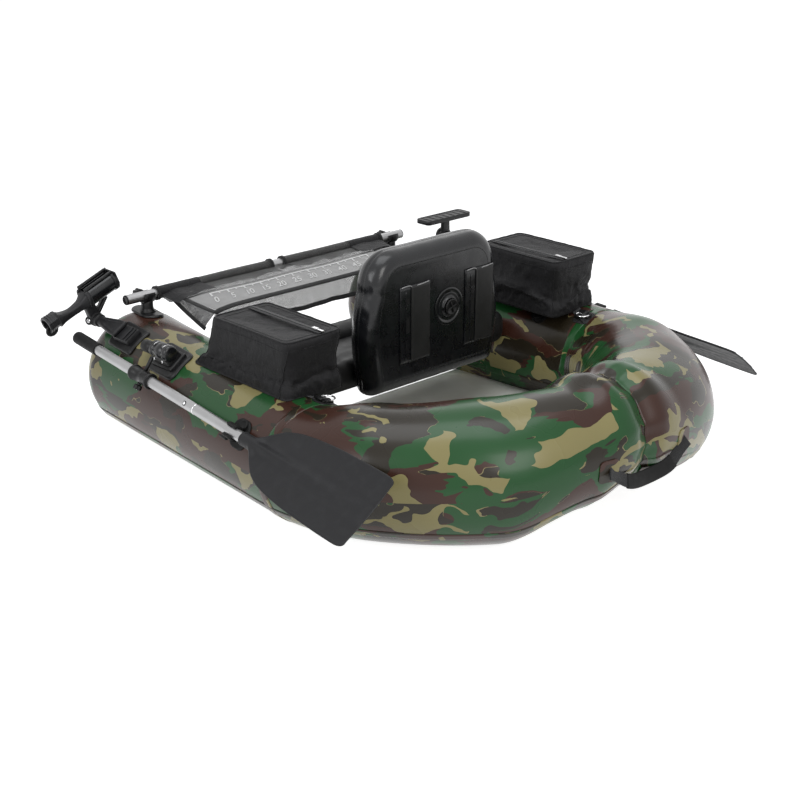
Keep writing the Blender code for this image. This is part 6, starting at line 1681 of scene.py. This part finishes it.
    # strut to the trough leaves a triangular window in front of the yoke
    foot, head = mid + up * 0.01 + run * 0.012, core + run * 0.05 - up * 0.026
    section = np.array(((-0.008, -0.0035), (0.008, -0.0035), (0.008, 0.0035), (-0.008, 0.0035)))
    on(node, carry("cradle_strut", np.linspace(foot, head, 6), section, up, greyPlastic),
        roundBox("strut_web", (0.02, 0.014, 0.012), axes(mid + up * 0.018 + run * 0.014, up, run), greyPlastic,
            0.002))
    # trough: open section with thicker rims, bright inner cylinder, slit plate and end flange
    line = core + np.linspace(-0.004, 0.084, 12)[:, None] * run
    on(node, carry("cradle_trough", line, openHoop(0.0258, 0.0226, 34, 56), up, glossVinyl))
    for k, low in enumerate((-0.004, 0.078)):
        line = core + np.linspace(low, low + 0.01, 3)[:, None] * run
        on(node, carry("trough_rim_%d" % k, line, openHoop(0.0275, 0.0225, 34, 56), up, greyPlastic))
    lip = core + up * 0.0225 + np.linspace(0.000, 0.084, 4)[:, None] * run
    for k, y in enumerate((-0.0145, 0.016)):
        section = np.array(((-0.0022, -0.004), (0.0022, -0.004), (0.0022, 0.0065), (-0.0022, 0.0065)))
        on(node, carry("trough_lip_%d" % k, lip + (0, y, 0.0), section, up, blackPlastic))
    on(node, roundBox("end_flange", (0.0045, 0.05, 0.034), axes(core + run * 0.0885 + up * 0.008, up, run),
            blackPlastic, 0.0016), roundBox("end_ear", (0.022, 0.0045, 0.03),
            axes(core + run * 0.082 + up * 0.01 + (0, 0.0235, 0), up, run), blackPlastic, 0.0016))
    # butt: eight-sided steps with five ribs above, and the hook ring below
    turn = np.radians(np.arange(8) * 45 + 22.5)
    octagon = np.stack((np.cos(turn), np.sin(turn)), -1)
    steps = []
    for k in range(5):
        z = -0.122 + 0.0068 * k
        steps += [(z, 0.0222 - 0.0004 * k), (z + 0.0042, 0.0222 - 0.0004 * k), (z + 0.0046, 0.0205),
            (z + 0.0064, 0.0205)]
    shell = [core + z * run + (octagon[:, :1] * (0, 1, 0) + octagon[:, 1:] * up) * r for z, r in steps]
    inner = [core + z * run + (octagon[:, :1] * (0, 1, 0) + octagon[:, 1:] * up) * 0.0165 for z in (-0.09, -0.122)]
    on(node, grid("cradle_butt", np.array(shell + inner), greyPlastic, closedRows=True, closedColumns=True,
            smooth=False))
    turn = fullTurn(40)
    hook = core - run * 0.1135 - up * 0.0195 + 0.0115 * (np.cos(turn)[:, None] * run + np.sin(turn)[:,
            None] * up * 0.8)
    on(node, carry("butt_hook", hook, tapeProfile(0.012, 0.0044, 5), (0, 1, 0), blackPlastic, closedPath=True))


def makeGearMount():
    # pad and block with a lock knob, toothed ear, and the small table that tilts on it
    f = fittings
    node = "gear_base"
    at = tubePlace(1, f["gearY"], f["gearAngle"])
    hx, hy = f["gearPad"]
    insteadOf(tubePad("gear_pad", 1, f["gearY"], f["gearAngle"], hx, hy, 0.019, 0.0048, blackPlastic, 0.0012), node)
    on(node, roundBox("gear_step", (0.052, 0.074, 0.008), shift(at, 0, 0, 0.006), blackPlastic, 0.0028, 3, 0.95),
        roundBox("gear_block", (0.038, 0.06, 0.032), shift(at, 0, 0, 0.021), blackPlastic, 0.0045, 4, 0.93))
    px, py, pz = f["gearPivot"]
    pivot = axes((px, py, pz), (0, 1, 0), (0, 0, 1))
    on(node, rod("gear_ear", 0.019, 0.0, 0.012, pivot, blackPlastic, 0.0016, 48, 0.0046),
        roundBox("gear_foot", (0.03, 0.012, 0.034), axes((px, py + 0.006, pz - 0.028), (0, 0, 1)), blackPlastic,
            0.0022))
    for k in range(10):
        c, s = math.cos(2 * math.pi * k / 10), math.sin(2 * math.pi * k / 10)
        tooth = axes(seat((0.0145 * c, 0.0145 * s, 0.0124), pivot), (0, 1, 0), seat((c, s, 0), pivot) - pivot[3])
        on(node, roundBox("ear_tooth_%d" % k, (0.0055, 0.0016, 0.001), tooth, greyPlastic, 0.0003, 1))
    knob = axes(seat((0, 0.0302, 0.0245), at), (0, 1, 0), at[2])
    insteadOf(lathe("gear_cylinder", profiles["gearKnob"], knob, blackPlastic, 48), "gear_lock_knob")
    node = "gear_table"
    rear = shift(pivot, 0, 0, -0.013)
    insteadOf(rod("table_ear", 0.019, 0.0, 0.012, rear, greyPlastic, 0.0016, 48, 0.0046), node)
    y = py - 0.007
    on(node, roundBox("table_neck", (0.028, 0.0115, 0.044), axes((px, y, pz + 0.03), (0, 0, 1)), greyPlastic, 0.0025,
            3, 0.9))
    top = axes((px - 0.006, y, 0.414), (0, 0, 1), (1, 0, 0))
    outline = roundedOutline(0.084, 0.025, 0.01, 96)
    rings = [np.column_stack((outline * share, np.full(96, z))) for share, z in profiles["tableEdge"]]
    on(node, grid("table_top", seat(np.array(rings), top), greyPlastic, closedColumns=True, caps=True))
    for k in range(7):
        on(node, roundBox("table_rib_%d" % k, (0.003, 0.04, 0.0016), shift(top, -0.066 + 0.022 * k, 0, 0.0052),
                greyPlastic, 0.0006, 2))
    grip = join("gear_grip", [starKnob("gear_star", 0.0135, 0.0108, 12, 0.1,
            axes(seat((0, 0, -0.001), rear), (0, -1, 0), (0, 0, 1)), blackPlastic, 0.5),
            rod("gear_screw", 0.0042, -0.002, 0.026, rear, chrome, 0.0005, 24)])
    insteadOf(grip, "gear_knob")


handle = dict(x=(0.132, 0.104, 0.07, 0.0), y=(-0.72019, -0.72012, -0.72392, -0.7179), z=(0.176, 0.16, 0.138, 0.128),
    width=0.029, gripWidth=0.033, gripFrom=26, gripTo=64)


def makeSternHandle():
    # webbing between its two patches: points of the strap's line, mirrored, smoothed
    x, y, z = (np.array(handle[key]) for key in "xyz")
    line = np.column_stack((np.concatenate((-x, x[::-1][1:])), np.concatenate((y, y[::-1][1:])),
            np.concatenate((z, z[::-1][1:]))))
    t = np.linspace(0, 1, 90)
    knots = np.linspace(0, 1, 7)
    path = np.column_stack([cubicSteps(t, knots, line[:, k]) for k in range(3)])
    for sweep in range(4):
        path[4:-4] = np.mean([path[k:len(path) - 8 + k] for k in range(9)], axis=0)
    path[:, 1] -= 0.0006 + 0.001 * np.exp(-((np.abs(path[:, 0]) - 0.06) / 0.03) ** 2)
    section = tapeProfile(handle["width"], 0.0026, 5)
    insteadOf(carry("handle_webbing", path, section, (0, -1, 0.5), webbing), "stern_handle")
    core = path[handle["gripFrom"]:handle["gripTo"]] + (0, -0.0004, 0.0)
    section = tapeProfile(handle["gripWidth"], 0.0058, 6)
    on("stern_handle", carry("handle_grip", core, section, (0, -1, 0.5), softRubber))


def makeRing(sideName, side):
    # welded patch and the loop that holds the ring, on a small foot
    node = "ring_patch_" + sideName
    y, angle, (hx, hy) = fittings["ringY"], fittings["ringAngle"], fittings["ringPad"]
    at = tubePlace(side, y, angle)
    insteadOf(tubePad("ring_pad_" + sideName, side, y, angle, hx, hy, 0.01, 0.0021, dullVinyl), node)
    on(node, rod("ring_loop_" + sideName, 0.0047, -0.011, 0.011, axes(seat((0, 0, 0.0078), at), at[0], at[1]),
            dullVinyl, 0.0008, 24), roundBox("loop_foot_" + sideName, (0.022, 0.016, 0.004), shift(at, 0, 0, 0.0036),
            dullVinyl, 0.0012))


for sideName, side in sides.items():
    oarAt = makeOar(sideName, side)
    makeLock(sideName, side)
    makeClip(sideName, side, oarAt)
    makeClamp(sideName, side)
    makeRing(sideName, side)
makeRodHolder()
makeGearMount()
makeSternHandle()
print("fittings ready")


for sideName in sides:
    finish(blackPlastic, "hull_valve_" + sideName)
    finish(chrome, "d_ring_" + sideName, "zip_slider_" + sideName)
    finish(camoPatch, "handle_patch_" + sideName)
finish(aluminium, "cross_bar")


def stageFloor():
    # a wide disc that shades to white in the picture and keeps the object's shadow
    turn = fullTurn(64)
    points = np.stack((60 * np.cos(turn), 60 * np.sin(turn), np.full(64, -0.0006)), -1) - offset
    mesh = put("studio_floor", points, [list(range(64))], floorPaper, smooth=False)


def anyRay(tree, path):
    # 1 for a ray seen by the camera, by a mirror-like face or through glass
    seen = path.outputs["Is Camera Ray"]
    for other in ("Is Glossy Ray", "Is Transmission Ray"):
        both = tree.nodes.new("ShaderNodeMath")
        both.operation = "MAXIMUM"
        tree.links.new(seen, both.inputs[0])
        tree.links.new(path.outputs[other], both.inputs[1])
        seen = both.outputs[0]
    return seen


floorPaper = bpy.data.materials.new("studio_paper")
floorPaper.use_nodes = True
tree = floorPaper.node_tree
paper = tree.nodes["Principled BSDF"]
paper.inputs["Base Color"].default_value = (0.8, 0.8, 0.8, 1)
paper.inputs["Roughness"].default_value = 0.9
paper.inputs["Specular IOR Level"].default_value = 0.1
glow = tree.nodes.new("ShaderNodeEmission")
glow.inputs["Strength"].default_value = 0.88
both = tree.nodes.new("ShaderNodeAddShader")
tree.links.new(paper.outputs[0], both.inputs[0])
tree.links.new(glow.outputs[0], both.inputs[1])
ray = tree.nodes.new("ShaderNodeLightPath")
choice = tree.nodes.new("ShaderNodeMixShader")
tree.links.new(anyRay(tree, ray), choice.inputs[0])
tree.links.new(paper.outputs[0], choice.inputs[1])
tree.links.new(both.outputs[0], choice.inputs[2])
tree.links.new(choice.outputs[0], tree.nodes["Material Output"].inputs["Surface"])
stageFloor()

world = bpy.data.worlds.new("studio")
bpy.context.scene.world = world
world.use_nodes = True
sky = world.node_tree
air = sky.nodes["Background"]
air.inputs["Color"].default_value = (0.8, 0.82, 0.86, 1)
air.inputs["Strength"].default_value = 0.2
white = sky.nodes.new("ShaderNodeBackground")
white.inputs["Strength"].default_value = 1.0
white.inputs["Color"].default_value = (1, 1, 1, 1)
path = sky.nodes.new("ShaderNodeLightPath")
pick = sky.nodes.new("ShaderNodeMixShader")
sky.links.new(anyRay(sky, path), pick.inputs[0])
sky.links.new(air.outputs[0], pick.inputs[1])
sky.links.new(white.outputs[0], pick.inputs[2])
sky.links.new(pick.outputs[0], sky.nodes["World Output"].inputs["Surface"])

lamps = {
    "overhead_panel": dict(at=(-0.3, -0.2, 3.2), aim=(0.0, 0.0, 0.0), size=(2.2, 1.8), power=36,
    tint=(0.96, 0.98, 1.0)),
    "front_panel": dict(at=(-1.1, -3.4, 2.2), aim=(0.0, -0.3, 0.2), size=(1.4, 1.8), power=40,
                        tint=(1.0, 0.98, 0.96)),
    "left_panel": dict(at=(-3.4, -0.2, 1.9), aim=(0.0, 0.2, 0.2), size=(1.6, 1.6), power=30, tint=(0.97, 0.98, 1.0)),
    "rim_panel": dict(at=(2.6, 2.6, 2.4), aim=(0.0, 0.2, 0.2), size=(2.0, 1.4), power=9, tint=(1.0, 1.0, 1.0)),
    }
for name, lamp in lamps.items():
    light = bpy.data.lights.new(name, "AREA")
    light.shape, light.size, light.size_y = "RECTANGLE", *lamp["size"]
    light.energy, light.color = lamp["power"], lamp["tint"]
    holder = bpy.data.objects.new(name, light)
    holder.location = lamp["at"]
    holder.rotation_euler = (Vector(lamp["aim"]) - Vector(lamp["at"])).to_track_quat("-Z", "Y").to_euler()
    bpy.context.scene.collection.objects.link(holder)

view = dict(at=(-2.34559, -2.37689, 1.41673), aim=(-0.2349, -0.1204, 0.2), lens=65.74, shift=(0.0119, 0.0036))
eye = bpy.data.cameras.new("photo_camera")
eye.lens, eye.sensor_width = view["lens"], 36.0
eye.shift_x, eye.shift_y = view["shift"]
camera = bpy.data.objects.new("photo_camera", eye)
camera.location = view["at"]
camera.rotation_euler = (Vector(view["aim"]) - Vector(view["at"])).to_track_quat("-Z", "Y").to_euler()
bpy.context.scene.collection.objects.link(camera)
bpy.context.scene.camera = camera
bpy.context.scene.view_settings.view_transform = "Standard"

bpy.context.view_layer.update()
